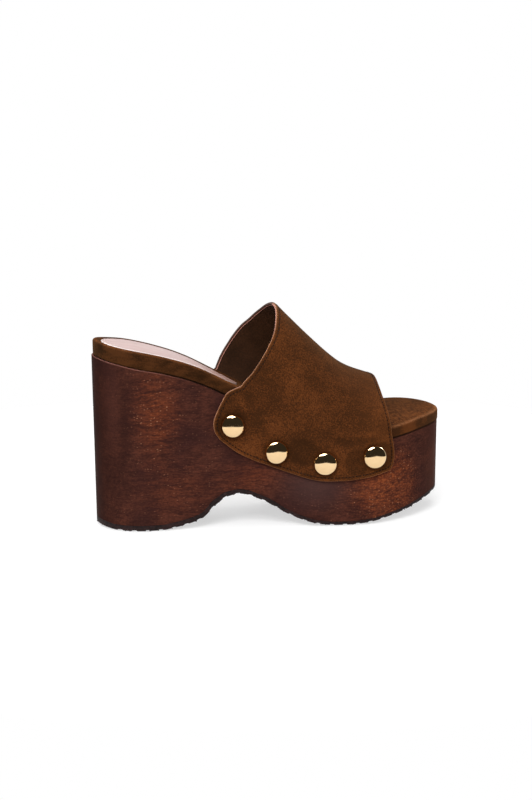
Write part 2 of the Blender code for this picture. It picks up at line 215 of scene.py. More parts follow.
# Named sizes of the shoe are in millimetres, and stains run from 0 to 255, as they look
LENGTH = 245.0
HALF = LENGTH / 2
DRAFT_HEEL = 0.017
DRAFT_TOE = 0.009
DRAFT_HEIGHT = 124.0
GAP = 0.3
LATERAL = -1
MEDIAL = 1
HEEL_RADIUS = 31.0
TOE_REACH = {LATERAL: 62.0, MEDIAL: 34.0}
TOE_POWER = {LATERAL: 2.0, MEDIAL: 2.2}
TOE_SWING = 6.3
TOE_SWING_START = 40.0
SOLE_COLUMNS = ("x", "lateral", "medial", "footbed_top", "footbed_depth", "tread")
SOLE_SECTIONS = [
    (-122.5, 31.0, 31.0, 127.9, 11.0, 1.2),
    (-112.0, 31.0, 31.0, 125.2, 11.0, 0.0),
    (-95.0, 31.5, 31.5, 122.0, 11.6, 0.0),
    (-82.0, 31.3, 31.2, 118.9, 11.2, 0.0),
    (-74.0, 31.0, 30.7, 116.6, 11.1, 1.1),
    (-65.0, 30.7, 30.0, 113.7, 10.9, 2.9),
    (-54.0, 30.4, 29.0, 109.3, 10.6, 6.5),
    (-44.0, 30.2, 28.2, 104.3, 10.2, 15.5),
    (-36.0, 30.3, 27.7, 100.0, 10.0, 20.6),
    (-28.0, 30.6, 27.5, 95.8, 10.1, 22.0),
    (-11.5, 33.0, 29.0, 87.3, 10.7, 16.6),
    (4.4, 36.8, 32.5, 79.4, 10.5, 7.6),
    (20.0, 42.3, 37.2, 72.5, 9.9, 1.9),
    (28.0, 44.3, 39.3, 70.1, 9.5, 0.6),
    (36.0, 45.3, 41.2, 68.5, 9.1, 0.0),
    (46.0, 46.4, 43.6, 66.7, 8.5, 0.0),
    (60.0, 47.0, 45.2, 65.6, 8.0, 1.0),
    (75.0, 45.5, 45.0, 66.1, 8.0, 3.5),
    (90.0, 43.0, 45.0, 68.1, 8.5, 6.1),
    (105.0, 40.0, 44.0, 69.3, 8.3, 9.4),
    (122.5, 37.0, 41.0, 70.1, 8.1, 13.2),
]
RUBBER_HEEL = 3.8
RUBBER_TOE = 2.4
RUBBER_THINS = (-60.0, 30.0)
WOOD_TOP_ROUND = 0.7
WOOD_FOOT_ROUND = 0.25
WOOD_DARK = (41, 23, 20)
WOOD_MID = (73, 41, 33)
WOOD_LIGHT = (94, 52, 37)
WOOD_ORANGE = (130, 64, 33)
WOOD_PURPLE = (54, 31, 29)
WOOD_FLECK = (182, 124, 92)
WOOD_PAINTED_SHEEN = (98, 58, 50)
WOOD_EDGE_HIGHLIGHT = (132, 88, 78)
WOOD_GREY = (70, 50, 47)
WOOD_WARM = (82, 41, 26)
WOOD_SPARK = (152, 84, 44)
WOOD_PAINTED_SHADE = (37, 19, 15)
# Painted highlight on the wood's rounded top edge: where it fades out along the shoe, and its share on each
# loop
WOOD_HIGHLIGHT_START = -58.0
WOOD_HIGHLIGHT_LENGTH = 40.0
WOOD_HIGHLIGHT_SHARE = (0, 0, 0, 0.3, 0.75, 0.75, 0.4)
# Patches of stain, painted highlight and painted shade as a centre and half sizes, in metres
HEEL_GLOW = ((-0.0850, -0.031, 0.082), (0.028, 0.03, 0.054))
LOW_GLOW = ((-0.0700, -0.031, 0.026), (0.060, 0.03, 0.034))
WAIST_GLOW = ((-0.0180, -0.033, 0.034), (0.034, 0.03, 0.022))
TOE_GLOW = ((0.0740, -0.045, 0.026), (0.046, 0.04, 0.040))
HEEL_PAINTED_SHEEN = ((-0.1134, -0.0219, 0.086), (0.008, 0.03, 0.050))
HEEL_DARK = ((-0.1050, -0.0275, 0.070), (0.006, 0.03, 0.062))
HEEL_BACK_SHADE = ((-0.1225, 0.0, 0.060), (0.040, 0.06, 0.18))
TOE_END = ((0.1220, 0.0, 0.035), (0.030, 0.07, 0.10))
BALL_GREY = ((0.022, -0.043, 0.030), (0.034, 0.04, 0.026))


def monotone(rows, x):
    """Cubic curve through (place, value) rows that never overshoots between two of them."""
    xs, ys = np.array(rows, float).T
    step = np.diff(xs)
    rise = np.diff(ys) / step
    slope = np.concatenate([rise[:1], np.zeros(len(xs) - 2), rise[-1:]])
    same_way = rise[:-1] * rise[1:] > 0
    total = np.where(same_way, rise[:-1] + rise[1:], 1.0)
    slope[1:-1] = np.where(same_way, 2 * rise[:-1] * rise[1:] / total, 0.0)
    x = np.asarray(x, float)
    i = np.clip(np.searchsorted(xs, x) - 1, 0, len(xs) - 2)
    t = (x - xs[i]) / step[i]
    start = (1 + 2 * t) * (1 - t) ** 2 * ys[i] + t * (1 - t) ** 2 * step[i] * slope[i]
    end = t * t * (3 - 2 * t) * ys[i + 1] + t * t * (t - 1) * step[i] * slope[i + 1]
    return start + end


def sole(column, x):
    """A column of the sole's table at any places along the shoe."""
    pick = SOLE_COLUMNS.index(column)
    return monotone([(row[0], row[pick]) for row in SOLE_SECTIONS], x)


def side(x, hand, inset=0.0):
    """Y of the sole's outline, inset from its edge by that much, or outset where it is negative."""
    half = HALF - inset
    heel = np.clip((x + half) / (HEEL_RADIUS - inset), 0, 1)
    toe = np.clip((half - x) / (TOE_REACH[hand] - inset), 0, 1)
    power = TOE_POWER[hand]
    rounded = np.sqrt(1 - (1 - heel) ** 2) * (1 - (1 - toe) ** power) ** (1 / power)
    width = sole("lateral" if hand == LATERAL else "medial", x) - inset
    swing = np.clip((x - TOE_SWING_START) / (HALF - TOE_SWING_START), 0, 1)
    return hand * width * rounded + TOE_SWING * swing**2


def drafted(x, y, z):
    """Points of the shoe after the sole's narrowing towards the floor, in metres."""
    x, y, z = np.broadcast_arrays(np.asarray(x, float), y, z)
    draft = DRAFT_HEEL + (DRAFT_TOE - DRAFT_HEEL) * np.clip((x + HALF) / LENGTH, 0, 1)
    k = 1 - draft * np.maximum(0, 1 - z / DRAFT_HEIGHT)
    return np.stack([x * k, y * k, z], -1) * MM


def arc_places(count, radius):
    """Distances from a round end that follow equal turns of its arc."""
    return radius * (1 - np.cos(np.linspace(0.02, 1.0, count) * math.pi / 2))


def stations(inset=0.0, middle=150, heel=24, toe=28):
    """Places along the shoe, close together at its round ends."""
    back = -HALF + inset + arc_places(heel, HEEL_RADIUS - inset)
    ahead = (HALF - inset - arc_places(toe, TOE_REACH[MEDIAL] - inset))[::-1]
    between = np.linspace(back[-1], ahead[0], middle + 2)[1:-1]
    return np.concatenate([back, between, ahead])


def ring(places, inset, height, share=1.0):
    """A closed loop round the outline: lateral side from heel to toe, then medial side back again."""
    near_side = drafted(places, side(places, LATERAL, inset) * share, height)
    far_side = drafted(places, side(places, MEDIAL, inset) * share, height)
    return np.concatenate([near_side, far_side[::-1]]) + shoe_offset


def skin(name, rings, sharp=38):
    """A closed mesh over rings of points from bottom to top."""
    count = len(rings[0])
    faces = []
    for level in range(len(rings) - 1):
        low = level * count
        for i in range(count):
            j = (i + 1) % count
            faces.append((low + i, low + j, low + count + j, low + count + i))
    lid = (len(rings) - 1) * count
    for i in range(count // 2 - 1):
        across = count - 1 - i
        faces.append((i, across, across - 1, i + 1))
        faces.append((lid + i, lid + i + 1, lid + across - 1, lid + across))
    mesh = bpy.data.meshes.new(name)
    mesh.from_pydata(np.concatenate(rings).tolist(), [], faces)
    mesh.update()
    mesh.shade_smooth()
    mesh.set_sharp_from_angle(angle=math.radians(sharp))
    return mesh


def rounded_top(places_at, inset, top, radius, steps, share_at=None):
    """Rings round the upper edge of a slab, from its side up and over onto its top."""
    rings = []
    for turn in np.linspace(0, math.pi / 2, steps + 1):
        into = inset + radius * (1 - math.cos(turn))
        places = places_at(into)
        share = share_at(places) if share_at else 1.0
        rings.append(ring(places, into, top(places) - radius * (1 - math.sin(turn)), share))
    return rings


def rubber_depth(x):
    """Depth of the outsole, which is thinner under the forefoot."""
    return np.interp(x, RUBBER_THINS, (RUBBER_HEEL, RUBBER_TOE))


def above_tread(x, depth):
    """Height at a depth above the tread, measured square to it."""
    slope = (sole("tread", np.minimum(x + 0.5, HALF)) - sole("tread", np.maximum(x - 0.5, -HALF)))
    return sole("tread", x) + depth * np.hypot(1.0, slope)


def wood_top(x):
    """Height of the wood under the footbed."""
    return sole("footbed_top", x) - sole("footbed_depth", x) - GAP


def new_finish(name, constants):
    """A material whose plain numbers are set on the shader, and the wire that its pattern starts from."""
    material = bpy.data.materials.new(name)
    material.use_nodes = True
    shader = material.node_tree.nodes["Principled BSDF"]
    for socket, value in constants.items():
        shader.inputs[socket].default_value = value
    start = Wire(material.node_tree)
    return material, shader.inputs, start.node("ShaderNodeTexCoord", output="Object")


def stain(colour):
    """A colour from 0 to 255, as it looks, made linear for the shader."""
    def linear(c):
        return ((c / 255 + 0.055) / 1.055) ** 2.4 if c > 10 else c / 255 / 12.92

    return (*[linear(c) for c in colour], 1.0)


def stored(place, name):
    """The numbers kept under that name on the points of the piece."""
    return place.node("ShaderNodeAttribute", {"attribute_name": name}, output="Fac")


def noise(place, size, detail=3.0, rough=0.55, stretch=(1, 1, 1), seed=0.0):
    """Soft noise from 0 to 1 with lumps about that many metres across, longer where stretch is greater."""
    moved = place.node("ShaderNodeMapping", values={
        "Vector": place,
        "Location": (seed, seed * 0.7, seed * 1.3),
        "Scale": tuple(1 / (size * part) for part in stretch),
    })
    return moved.node("ShaderNodeTexNoise", values={
        "Vector": moved, "Scale": 1.0, "Detail": detail, "Roughness": rough,
    })


def near(place, centre, reach):
    """1 at a centre, falling softly to 0 on an ellipsoid with those half sizes, all in metres."""
    moved = place.node("ShaderNodeVectorMath", {"operation": "SUBTRACT"}, {0: place, 1: centre})
    scaled = moved.node("ShaderNodeVectorMath", {"operation": "DIVIDE"}, {0: moved, 1: reach})
    away = scaled.node("ShaderNodeVectorMath", {"operation": "LENGTH"}, {0: scaled}, "Value")
    return smooth(away, 1.0, 0.0)


def flecks(place, size, amount, seed, stretch=(1, 1, 1)):
    """Small separate specks: 1 on the given share of cells of that size, 0 elsewhere."""
    moved = place.node("ShaderNodeMapping", values={
        "Vector": place,
        "Location": (seed, seed, seed),
        "Scale": tuple(1 / (size * part) for part in stretch),
    })
    cell = moved.node("ShaderNodeTexVoronoi", values={"Vector": moved, "Scale": 1.0})
    tone = moved.node("ShaderNodeTexVoronoi", values={"Vector": moved, "Scale": 1.0}, output="Color")
    pick = tone.node("ShaderNodeSeparateColor", values={0: tone})
    return smooth(cell, 0.34, 0.16) * smooth(pick, 1 - amount, 1 - amount + 0.02)


def bump(height):
    """A surface raised by that many metres."""
    return height.node("ShaderNodeBump", values={"Strength": 1.0, "Distance": 1.0, "Height": height})


def point_values(mesh, name, values):
    """Stores one number for each point of a mesh, for its material or its node tree."""
    layer = mesh.attributes.new(name, "FLOAT", "POINT")
    layer.data.foreach_set("value", np.asarray(values, np.float32).ravel())


# The shoe is drawn about its own middle, then moved to where the frame holds the wooden sole
shoe_offset = np.zeros(3)
sole_places = stations()
rim = ring(sole_places, 0.0, wood_top(sole_places) - WOOD_TOP_ROUND)
packed = np.array(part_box("wood_sole"))
shoe_offset[:2] = packed.mean(0)[:2] - (rim.min(0) + rim.max(0))[:2] / 2

foot = above_tread(sole_places, rubber_depth(sole_places) + GAP)
wood_rings = [
    ring(stations(WOOD_FOOT_ROUND), WOOD_FOOT_ROUND, foot),
    ring(sole_places, 0.0, foot + WOOD_FOOT_ROUND),
    *rounded_top(stations, 0.0, wood_top, WOOD_TOP_ROUND, 4),
]
wood_sole = new_object("wooden_sole", skin("wooden_sole", wood_rings))

wood, wood_in, place = new_finish("stained_wood", {"Specular IOR Level": 0.03, "IOR": 1.2})
# Grain that wanders along the block
sway = noise(place, 0.030, 2.0, stretch=(2.2, 1, 1), seed=3.0)
ripple = noise(place, 0.0045, 1.0, stretch=(1.6, 1, 1), seed=8.0)
lift = place.node("ShaderNodeCombineXYZ", values={2: (sway - 0.5) * 0.014 + (ripple - 0.5) * 0.0022})
wavy = place.node("ShaderNodeVectorMath", {"operation": "ADD"}, {0: place, 1: lift})
figure = noise(wavy, 0.0042, 3.0, 0.6, stretch=(5, 2, 1), seed=1.0)
fibre = noise(wavy, 0.0011, 3.0, 0.7, stretch=(6, 2, 1), seed=5.0)
speck = noise(place, 0.0013, 2.0, 0.7, stretch=(1.5, 1, 1), seed=12.0)
cloud = noise(place, 0.020, 2.0, stretch=(1.2, 1, 1.2), seed=9.0)
tone = smooth(figure * 0.32 + fibre * 0.45 + cloud * 0.33, 0.34, 0.74)
body = blend(tone, stain(WOOD_DARK), stain(WOOD_MID))
body = blend(smooth(cloud, 0.55, 0.30) * 0.45, body, stain(WOOD_PURPLE))
# Warm orange patches, partly the wood's figure and partly painted highlight, with pale pores in clusters
heel_glow = near(place, *HEEL_GLOW)
low_glow = near(place, *LOW_GLOW)
waist_glow = near(place, *WAIST_GLOW)
toe_glow = near(place, *TOE_GLOW)
glow = heel_glow * 0.72 + low_glow * 0.38 + waist_glow * 0.50 + toe_glow * 1.15
stroke = smooth(figure * 0.45 + fibre * 0.65, 0.42, 0.72)
body = blend(smooth(glow, 0.0, 1.0) * (stroke * 0.60 + 0.10), body, stain(WOOD_ORANGE))
body = blend(stroke * smooth(cloud, 0.4, 0.7) * 0.35, body, stain(WOOD_LIGHT))
body = blend(smooth(speck, 0.56, 0.40) * 0.40, body, stain(WOOD_DARK))
body = blend(smooth(speck, 0.54, 0.68) * toe_glow * 0.34, body, stain(WOOD_SPARK))
pores = flecks(place, 0.0011, 0.34, 2.0, (2.0, 1, 0.8))
cluster = smooth(noise(place, 0.007, 2.0, 0.6, (1.3, 1, 1), 15.0), 0.46, 0.64)
pore_zone = smooth(toe_glow * 1.8 + heel_glow * 0.8 + low_glow * 0.25, 0.02, 0.7) * 0.6 + 0.15
body = blend(pores * pore_zone * (cluster * 0.85 + 0.15), body, stain(WOOD_FLECK))
# A painted sheen with a darker band beside it down the heel's round, painted shade over the back of the heel,
# and broad changes of tone at the toe and the ball
body = blend(near(place, *HEEL_PAINTED_SHEEN) * 0.26, body, stain(WOOD_PAINTED_SHEEN))
body = blend(near(place, *HEEL_DARK) * 0.40, body, stain(WOOD_DARK))
body = blend(near(place, *HEEL_BACK_SHADE) * 0.82, body, stain(WOOD_PAINTED_SHADE))
body = blend(near(place, *TOE_END) * 0.50, body, stain(WOOD_WARM))
body = blend(near(place, *BALL_GREY) * 0.55, body, stain(WOOD_GREY))
# A painted highlight along the wood's rounded top edge, fading out from the heel
body = blend(stored(place, "wood_rim_highlight"), body, stain(WOOD_EDGE_HIGHLIGHT))
body.into(wood_in["Base Color"])
(0.44 + figure * 0.12 - cloud * 0.06).into(wood_in["Roughness"])
bump(fibre * 0.00006 + figure * 0.00008).into(wood_in["Normal"])
sole_loop = np.concatenate([sole_places, sole_places[::-1]])
from_heel = np.clip((WOOD_HIGHLIGHT_START - sole_loop) / WOOD_HIGHLIGHT_LENGTH, 0, 1)
point_values(wood_sole.data, "wood_rim_highlight", np.outer(WOOD_HIGHLIGHT_SHARE, from_heel))
wood_sole.data.materials.append(wood)
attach(wood_sole, "root")
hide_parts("wood_sole")

# Rubber outsole
# A thin sheet of dark brown crumb rubber is glued under the whole block. Shallow lugs run across it, and
# coarse crumbs stand out of the lugs and along the edge.
LUG_PITCH = 9.0
GROOVE_WIDTH = 2.4
GROOVE_SLOPE = 0.5
LUG_CENTRE = -97.0
LUG_FIRST = -2
LUG_LAST = 23
LUG_RELIEF = 0.55
LUG_FACE = 0.9
RUBBER_EDGE = 0.2
CRUMB_HEIGHT = 0.55
CRUMB_SPACING = 4.2
CRUMB_DENSITY = 400000.0
CRUMB_LEAST = 0.4
LIP_INSET = 0.6
LIP_SPACING = 4.6
LIP_STRAY = 1.6
LIP_LEAST = 0.1
ANY_TURN = (6.28, 6.28, 6.28)
RUBBER_DARK = (22, 14, 13)
RUBBER_LIGHT = (47, 30, 29)


def groove_cut(x):
    """Share of the lug's depth that the grooves take away at any place."""
    phase = (x - LUG_CENTRE) / LUG_PITCH - 0.5
    off = np.abs(phase - np.round(phase)) * LUG_PITCH
    inside = (phase > LUG_FIRST - 0.5) & (phase < LUG_LAST + 0.5)
    return np.clip((GROOVE_WIDTH / 2 + GROOVE_SLOPE - off) / GROOVE_SLOPE, 0, 1) * inside


def lug_places():
    """Stations of the outsole with four at each groove."""
    places = stations(middle=60)
    for i in range(LUG_FIRST, LUG_LAST + 1):
        centre = LUG_CENTRE + (i + 0.5) * LUG_PITCH
        half = GROOVE_WIDTH / 2
        places = places[np.abs(places - centre) > half + 2 * GROOVE_SLOPE]
        corners = centre + np.array([-half - GROOVE_SLOPE, -half, half, half + GROOVE_SLOPE])
        places = np.concatenate([places, corners])
    return np.sort(places)


def new_tree(name, sizes):
    """A node tree with one geometry in and out, and a named input for each size."""
    tree = bpy.data.node_groups.new(name, "GeometryNodeTree")
    tree.interface.new_socket("Geometry", in_out="INPUT", socket_type="NodeSocketGeometry")
    for label, kind in sizes.items():
        tree.interface.new_socket(label, in_out="INPUT", socket_type=f"NodeSocket{kind}")
    tree.interface.new_socket("Geometry", in_out="OUTPUT", socket_type="NodeSocketGeometry")
    entry = tree.nodes.new("NodeGroupInput")
    return tree, {socket.name: Wire(tree, socket) for socket in entry.outputs if socket.name}


def grown(item, tree, result, sizes):
    """Runs a finished tree on an object once and leaves the outcome as the object's plain mesh."""
    result.into(tree.nodes.new("NodeGroupOutput").inputs[0])
    modifier = item.modifiers.new(tree.name, "NODES")
    modifier.node_group = tree
    for socket in tree.interface.items_tree:
        if socket.in_out == "INPUT" and socket.name in sizes:
            modifier[socket.identifier] = sizes[socket.name]
    scene = bpy.context.evaluated_depsgraph_get()
    mesh = bpy.data.meshes.new_from_object(item.evaluated_get(scene))
    item.modifiers.remove(modifier)
    item.data = mesh


rubber, rubber_in, place = new_finish("crumb_rubber", {"Specular IOR Level": 0.2})
crumb = noise(place, 0.0016, 2.0, seed=4.0)
patch = noise(place, 0.009, 2.0, seed=6.0)
blend(smooth(crumb * 0.6 + patch * 0.4, 0.35, 0.72), stain(RUBBER_DARK), stain(RUBBER_LIGHT)).into(
    rubber_in["Base Color"]
)
(0.66 + patch * 0.25).into(rubber_in["Roughness"])
bump(crumb * 0.00025).into(rubber_in["Normal"])

tread_places = lug_places()
cut = groove_cut(tread_places)
tread = above_tread(tread_places, CRUMB_HEIGHT + cut * LUG_RELIEF)
rubber_mesh = skin("rubber_outsole", [
    ring(tread_places, RUBBER_EDGE, tread),
    ring(tread_places, 0.0, tread + RUBBER_EDGE),
    ring(tread_places, 0.0, above_tread(tread_places, rubber_depth(tread_places) + GAP)),
])
rubber_mesh.materials.append(rubber)
on_lug = np.concatenate([1 - cut, (1 - cut)[::-1]])
point_values(rubber_mesh, "lug", np.concatenate([on_lug, on_lug * 0, on_lug * 0]))
outsole = new_object("rubber_outsole_sheet", rubber_mesh)
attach(outsole, "root")
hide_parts("rubber_outsole")

# Crumbs spread over the lugs and strung along the lower edge
lip = ring(tread_places, LIP_INSET, tread)
lip_mesh = bpy.data.meshes.new("tread_crumbs")
lip_mesh.from_pydata(lip.tolist(), [(i, (i + 1) % len(lip)) for i in range(len(lip))], [])
crumbs, size = new_tree("tread_crumbs", {
    "Sheet": "Object", "Spacing": "Float", "Lip spacing": "Float", "Radius": "Float", "Seed": "Int",
    "Rubber": "Material",
})
edge_line = size["Geometry"]
sheet = edge_line.node("GeometryNodeObjectInfo", values={"Object": size["Sheet"]}, output="Geometry")
lug = edge_line.node("GeometryNodeInputNamedAttribute", {"data_type": "FLOAT"}, {"Name": "lug"})
level = lug.node("FunctionNodeCompare", {"data_type": "FLOAT", "operation": "GREATER_THAN"}, {
    0: lug, 1: LUG_FACE,
})
spots = sheet.node("GeometryNodeDistributePointsOnFaces", {"distribute_method": "POISSON"}, {
    "Mesh": sheet, "Selection": level, "Distance Min": size["Spacing"], "Density Max": CRUMB_DENSITY,
    "Seed": size["Seed"],
})
lip_line = edge_line.node("GeometryNodeMeshToCurve", values={"Mesh": edge_line})
lip_line = edge_line.node("GeometryNodeResampleCurve", {"mode": "LENGTH"}, {
    "Curve": lip_line, "Length": size["Lip spacing"],
})
stray = edge_line.node("FunctionNodeRandomValue", {"data_type": "FLOAT"}, {
    2: -LIP_STRAY * MM, 3: LIP_STRAY * MM, "Seed": 5,
}, 1)
tangent = edge_line.node("GeometryNodeInputTangent")
stray = edge_line.node("ShaderNodeVectorMath", {"operation": "SCALE"}, {0: tangent, "Scale": stray})
lip_line = edge_line.node("GeometryNodeSetPosition", values={"Geometry": lip_line, "Offset": stray})
turned = edge_line.node("FunctionNodeRandomValue", {"data_type": "FLOAT_VECTOR"}, {
    0: (0.0, 0.0, 0.0), 1: ANY_TURN, "Seed": 9,
})


def scattered(points, least, seed):
    """Rubber grains of uneven size on points, as plain mesh."""
    grain = points.node("GeometryNodeMeshIcoSphere", values={"Radius": size["Radius"], "Subdivisions": 2})
    spread = points.node("FunctionNodeRandomValue", {"data_type": "FLOAT"}, {
        2: least, 3: 1.0, "Seed": seed,
    }, 1)
    placed = points.node("GeometryNodeInstanceOnPoints", values={
        "Points": points, "Instance": grain, "Scale": spread, "Rotation": turned,
    })
    return points.node("GeometryNodeRealizeInstances", values={"Geometry": placed})


joined = edge_line.node("GeometryNodeJoinGeometry", values={0: scattered(spots, CRUMB_LEAST, 8)})
scattered(lip_line, LIP_LEAST, 12).into(joined.socket.node.inputs[0])
joined = edge_line.node("GeometryNodeSetMaterial", values={"Geometry": joined, "Material": size["Rubber"]})
grains = new_object("tread_crumbs", lip_mesh)
grown(grains, crumbs, joined, {
    "Sheet": outsole, "Spacing": CRUMB_SPACING * MM, "Lip spacing": LIP_SPACING * MM,
    "Radius": CRUMB_HEIGHT * MM, "Seed": 11, "Rubber": rubber,
})
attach(grains, "root")

# Footbed
# A firm board and thin pad wrapped in brown suede is glued on the wood, a little short of its edge. Its
# upper edge is round and rubbed lighter, most of all at the toe; that lighter rim is partly painted
# highlight.
FOOTBED_INSET = 0.3
FOOTBED_FORWARD = 0.7
FOOTBED_ROUND = 2.4
FOOTBED_FOOT_ROUND = 0.6
FOOTBED_SHADE = 1.3
DISH_INSET = 5.6
DISH_DEPTH = 1.1
DISH_ENDS = (-10.0, 20.0)
TOE_WEAR_START = 40.0
TOE_WEAR_LENGTH = 60.0
# Where the painted shade in the gap above the wood grows in along the shoe
GAP_SHADE_START = -100.0
GAP_SHADE_LENGTH = 35.0
# Shares of rubbed edge and painted highlight, worn top and painted shade per loop, from edge foot to hollow
RIM_SHARE = (0, 0, 0, 0, 0.05, 0.25, 0.7, 1.0, 0.8, 0.5, 0.35, 0.2, 0.1, 0, 0)
TOP_SHARE = (0, 0, 0, 0, 0, 0.1, 0.3, 0.5, 0.8, 1, 1, 1, 1, 1, 1)
GAP_SHADE_SHARE = (1, 0.9, 0, 0, 0, 0, 0, 0, 0, 0, 0, 0, 0, 0, 0)
SUEDE_DARK = (55, 31, 15)
SUEDE_MID = (86, 47, 22)
SUEDE_LIGHT = (110, 63, 31)
SUEDE_WEAR_AND_HIGHLIGHT = (150, 100, 66)
BAND_DARK_AND_SHADE = (42, 24, 11)
BAND_MID = (69, 40, 20)
BAND_SHADE = (14, 8, 5)
TOE_DARK = (48, 25, 11)
TOE_LIGHT = (102, 56, 26)
SUEDE_FINISH = {
    "Specular IOR Level": 0.04, "IOR": 1.2,
    "Sheen Weight": 0.14, "Sheen Roughness": 0.45, "Sheen Tint": (0.50, 0.28, 0.13, 1.0),
}


def suede_nap(place, brushed):
    """Brushed nap: broad clouds where the pile lies one way or the other, and the fine pile itself."""
    cloud = noise(place, 0.017, 3.0, 0.5, (1.4, 1, 1), 2.0)
    stroke = noise(place, 0.0040, 3.0, 0.6, brushed, 7.0)
    pile = noise(place, 0.0009, 3.0, 0.7, seed=11.0)
    return cloud, stroke, pile


def footbed_top(x):
    """Height of the footbed's rim, before it is moved forward."""
    return sole("footbed_top", np.minimum(x + FOOTBED_FORWARD, HALF))


def dish(x):
    """Depth of the footbed's hollow, which runs out under the ball of the foot."""
    return np.interp(x, DISH_ENDS, (DISH_DEPTH, 0.0))


def dished(inset, share):
    """A loop round the hollow's slope, sunk by a share of its depth."""
    places = stations(inset)
    return ring(places, inset, footbed_top(places) - share * dish(places + FOOTBED_FORWARD))


suede_under, band_in, place = new_finish("footbed_suede", SUEDE_FINISH)
cloud, stroke, pile = suede_nap(place, (3.0, 2.0, 1.0))
tone = smooth(cloud * 0.45 + stroke * 0.40 + pile * 0.30, 0.48, 0.68)
rim_wear_and_highlight = stored(place, "rim")
flat = stored(place, "top")
gap_shade = stored(place, "gap_shade")
towards_toe = smooth(axis(place, "X"), 0.030, 0.090)
body = blend(tone, stain(BAND_DARK_AND_SHADE), stain(BAND_MID))
body = blend(towards_toe, body, blend(tone, stain(SUEDE_DARK), stain(SUEDE_MID)))
laid = noise(place, 0.0013, 3.0, 0.7, (1, 4, 1), 13.0)
top_nap = smooth(cloud * 0.35 + laid * 0.75, 0.42, 0.68)
# The top's nap is darker towards the far side
top_nap = top_nap * (1 - smooth(axis(place, "Y"), -0.026, 0.034) * 0.55)
body = blend(flat, body, blend(top_nap, stain(TOE_DARK), stain(TOE_LIGHT)))
# A lighter rim where the suede is rubbed, partly painted highlight on its rounding
body = blend(rim_wear_and_highlight * smooth(stroke * 0.5 + pile, 0.45, 1.05), body, stain(SUEDE_WEAR_AND_HIGHLIGHT))
# Painted shade along the foot of the band, in the gap above the wood, growing in away from the heel
body = blend(gap_shade, body, stain(BAND_SHADE))
body.into(band_in["Base Color"])
(0.86 + pile * 0.12).into(band_in["Roughness"])
bump(pile * 0.00010 + stroke * 0.00014).into(band_in["Normal"])

bed_places = stations(FOOTBED_INSET)
bed_depth = sole("footbed_depth", np.minimum(bed_places + FOOTBED_FORWARD, HALF))
bed_base = footbed_top(bed_places) - bed_depth
bed_foot = FOOTBED_INSET + FOOTBED_FOOT_ROUND
bed_flat = FOOTBED_INSET + FOOTBED_ROUND
dish_slope = DISH_INSET - bed_flat
bed_rings = [
    ring(stations(bed_foot), bed_foot, bed_base),
    ring(bed_places, FOOTBED_INSET, bed_base + FOOTBED_FOOT_ROUND),
    ring(bed_places, FOOTBED_INSET, bed_base + FOOTBED_SHADE),
    *rounded_top(stations, FOOTBED_INSET, footbed_top, FOOTBED_ROUND, 7),
    *[dished(bed_flat + dish_slope * t, t * t * (3 - 2 * t)) for t in (0.25, 0.5, 0.75, 1.0)],
]
ahead = np.array([FOOTBED_FORWARD * MM, 0, 0])
bed_mesh = skin("footbed", [points + ahead for points in bed_rings])
bed_mesh.materials.append(suede_under)
bed_loop = np.concatenate([bed_places, bed_places[::-1]])
from_toe = np.clip((bed_loop - TOE_WEAR_START) / TOE_WEAR_LENGTH, 0, 1)
off_heel = np.clip((bed_loop - GAP_SHADE_START) / GAP_SHADE_LENGTH, 0, 1)
point_values(bed_mesh, "rim", np.outer(RIM_SHARE, 0.25 + 0.75 * from_toe))
point_values(bed_mesh, "top", np.repeat(TOP_SHARE, len(bed_loop)))
point_values(bed_mesh, "gap_shade", np.outer(GAP_SHADE_SHARE, off_heel))
footbed = new_object("footbed_wrapped", bed_mesh)
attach(footbed, "root")
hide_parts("footbed")

# Heel sock
# A thin smooth leather, dyed pale pink, is stuck on the footbed from the heel to just inside the
# collar. Its edge is cut square and only just broken.
SOCK_INSET = 6.8
SOCK_DEPTH = 0.9
SOCK_ROUND = 0.4
SOCK_FRONT = -23.0
SOCK_FRONT_ROUND = 60.0
SOCK_HEEL_STEPS = 24
SOCK_MIDDLE_STEPS = 80
SOCK_FRONT_STEPS = 20
SOCK_PINK = (186, 156, 151)
SOCK_PALE = (203, 178, 174)
SOCK_EDGE_AND_HIGHLIGHT = (246, 238, 235)
SOCK_SHADE = (166, 112, 90)
SOCK_NAP = 0.3
EDGE_AND_HIGHLIGHT_SHARE = (1, 1, 1, 0.8, 0.3, 0)


def sock_places(inset):
    """Stations of the sock, close together at its two round ends."""
    back = -HALF + inset + arc_places(SOCK_HEEL_STEPS, HEEL_RADIUS - inset)
    front = SOCK_FRONT - (inset - SOCK_INSET)
    ahead = (front - arc_places(SOCK_FRONT_STEPS, SOCK_FRONT_ROUND))[::-1]
    between = np.linspace(back[-1], ahead[0], SOCK_MIDDLE_STEPS + 2)[1:-1]
    return np.concatenate([back, between, ahead])


def sock_share(x):
    """Share of the footbed's width that the sock keeps towards its round front."""
    return np.sqrt(1 - (1 - np.clip((SOCK_FRONT - x) / SOCK_FRONT_ROUND, 0, 1)) ** 2)


def sock_top(x):
    """The sock lies close on the footbed, a little sunk into its nap."""
    return sole("footbed_top", x) - dish(x) + GAP + SOCK_DEPTH - SOCK_NAP


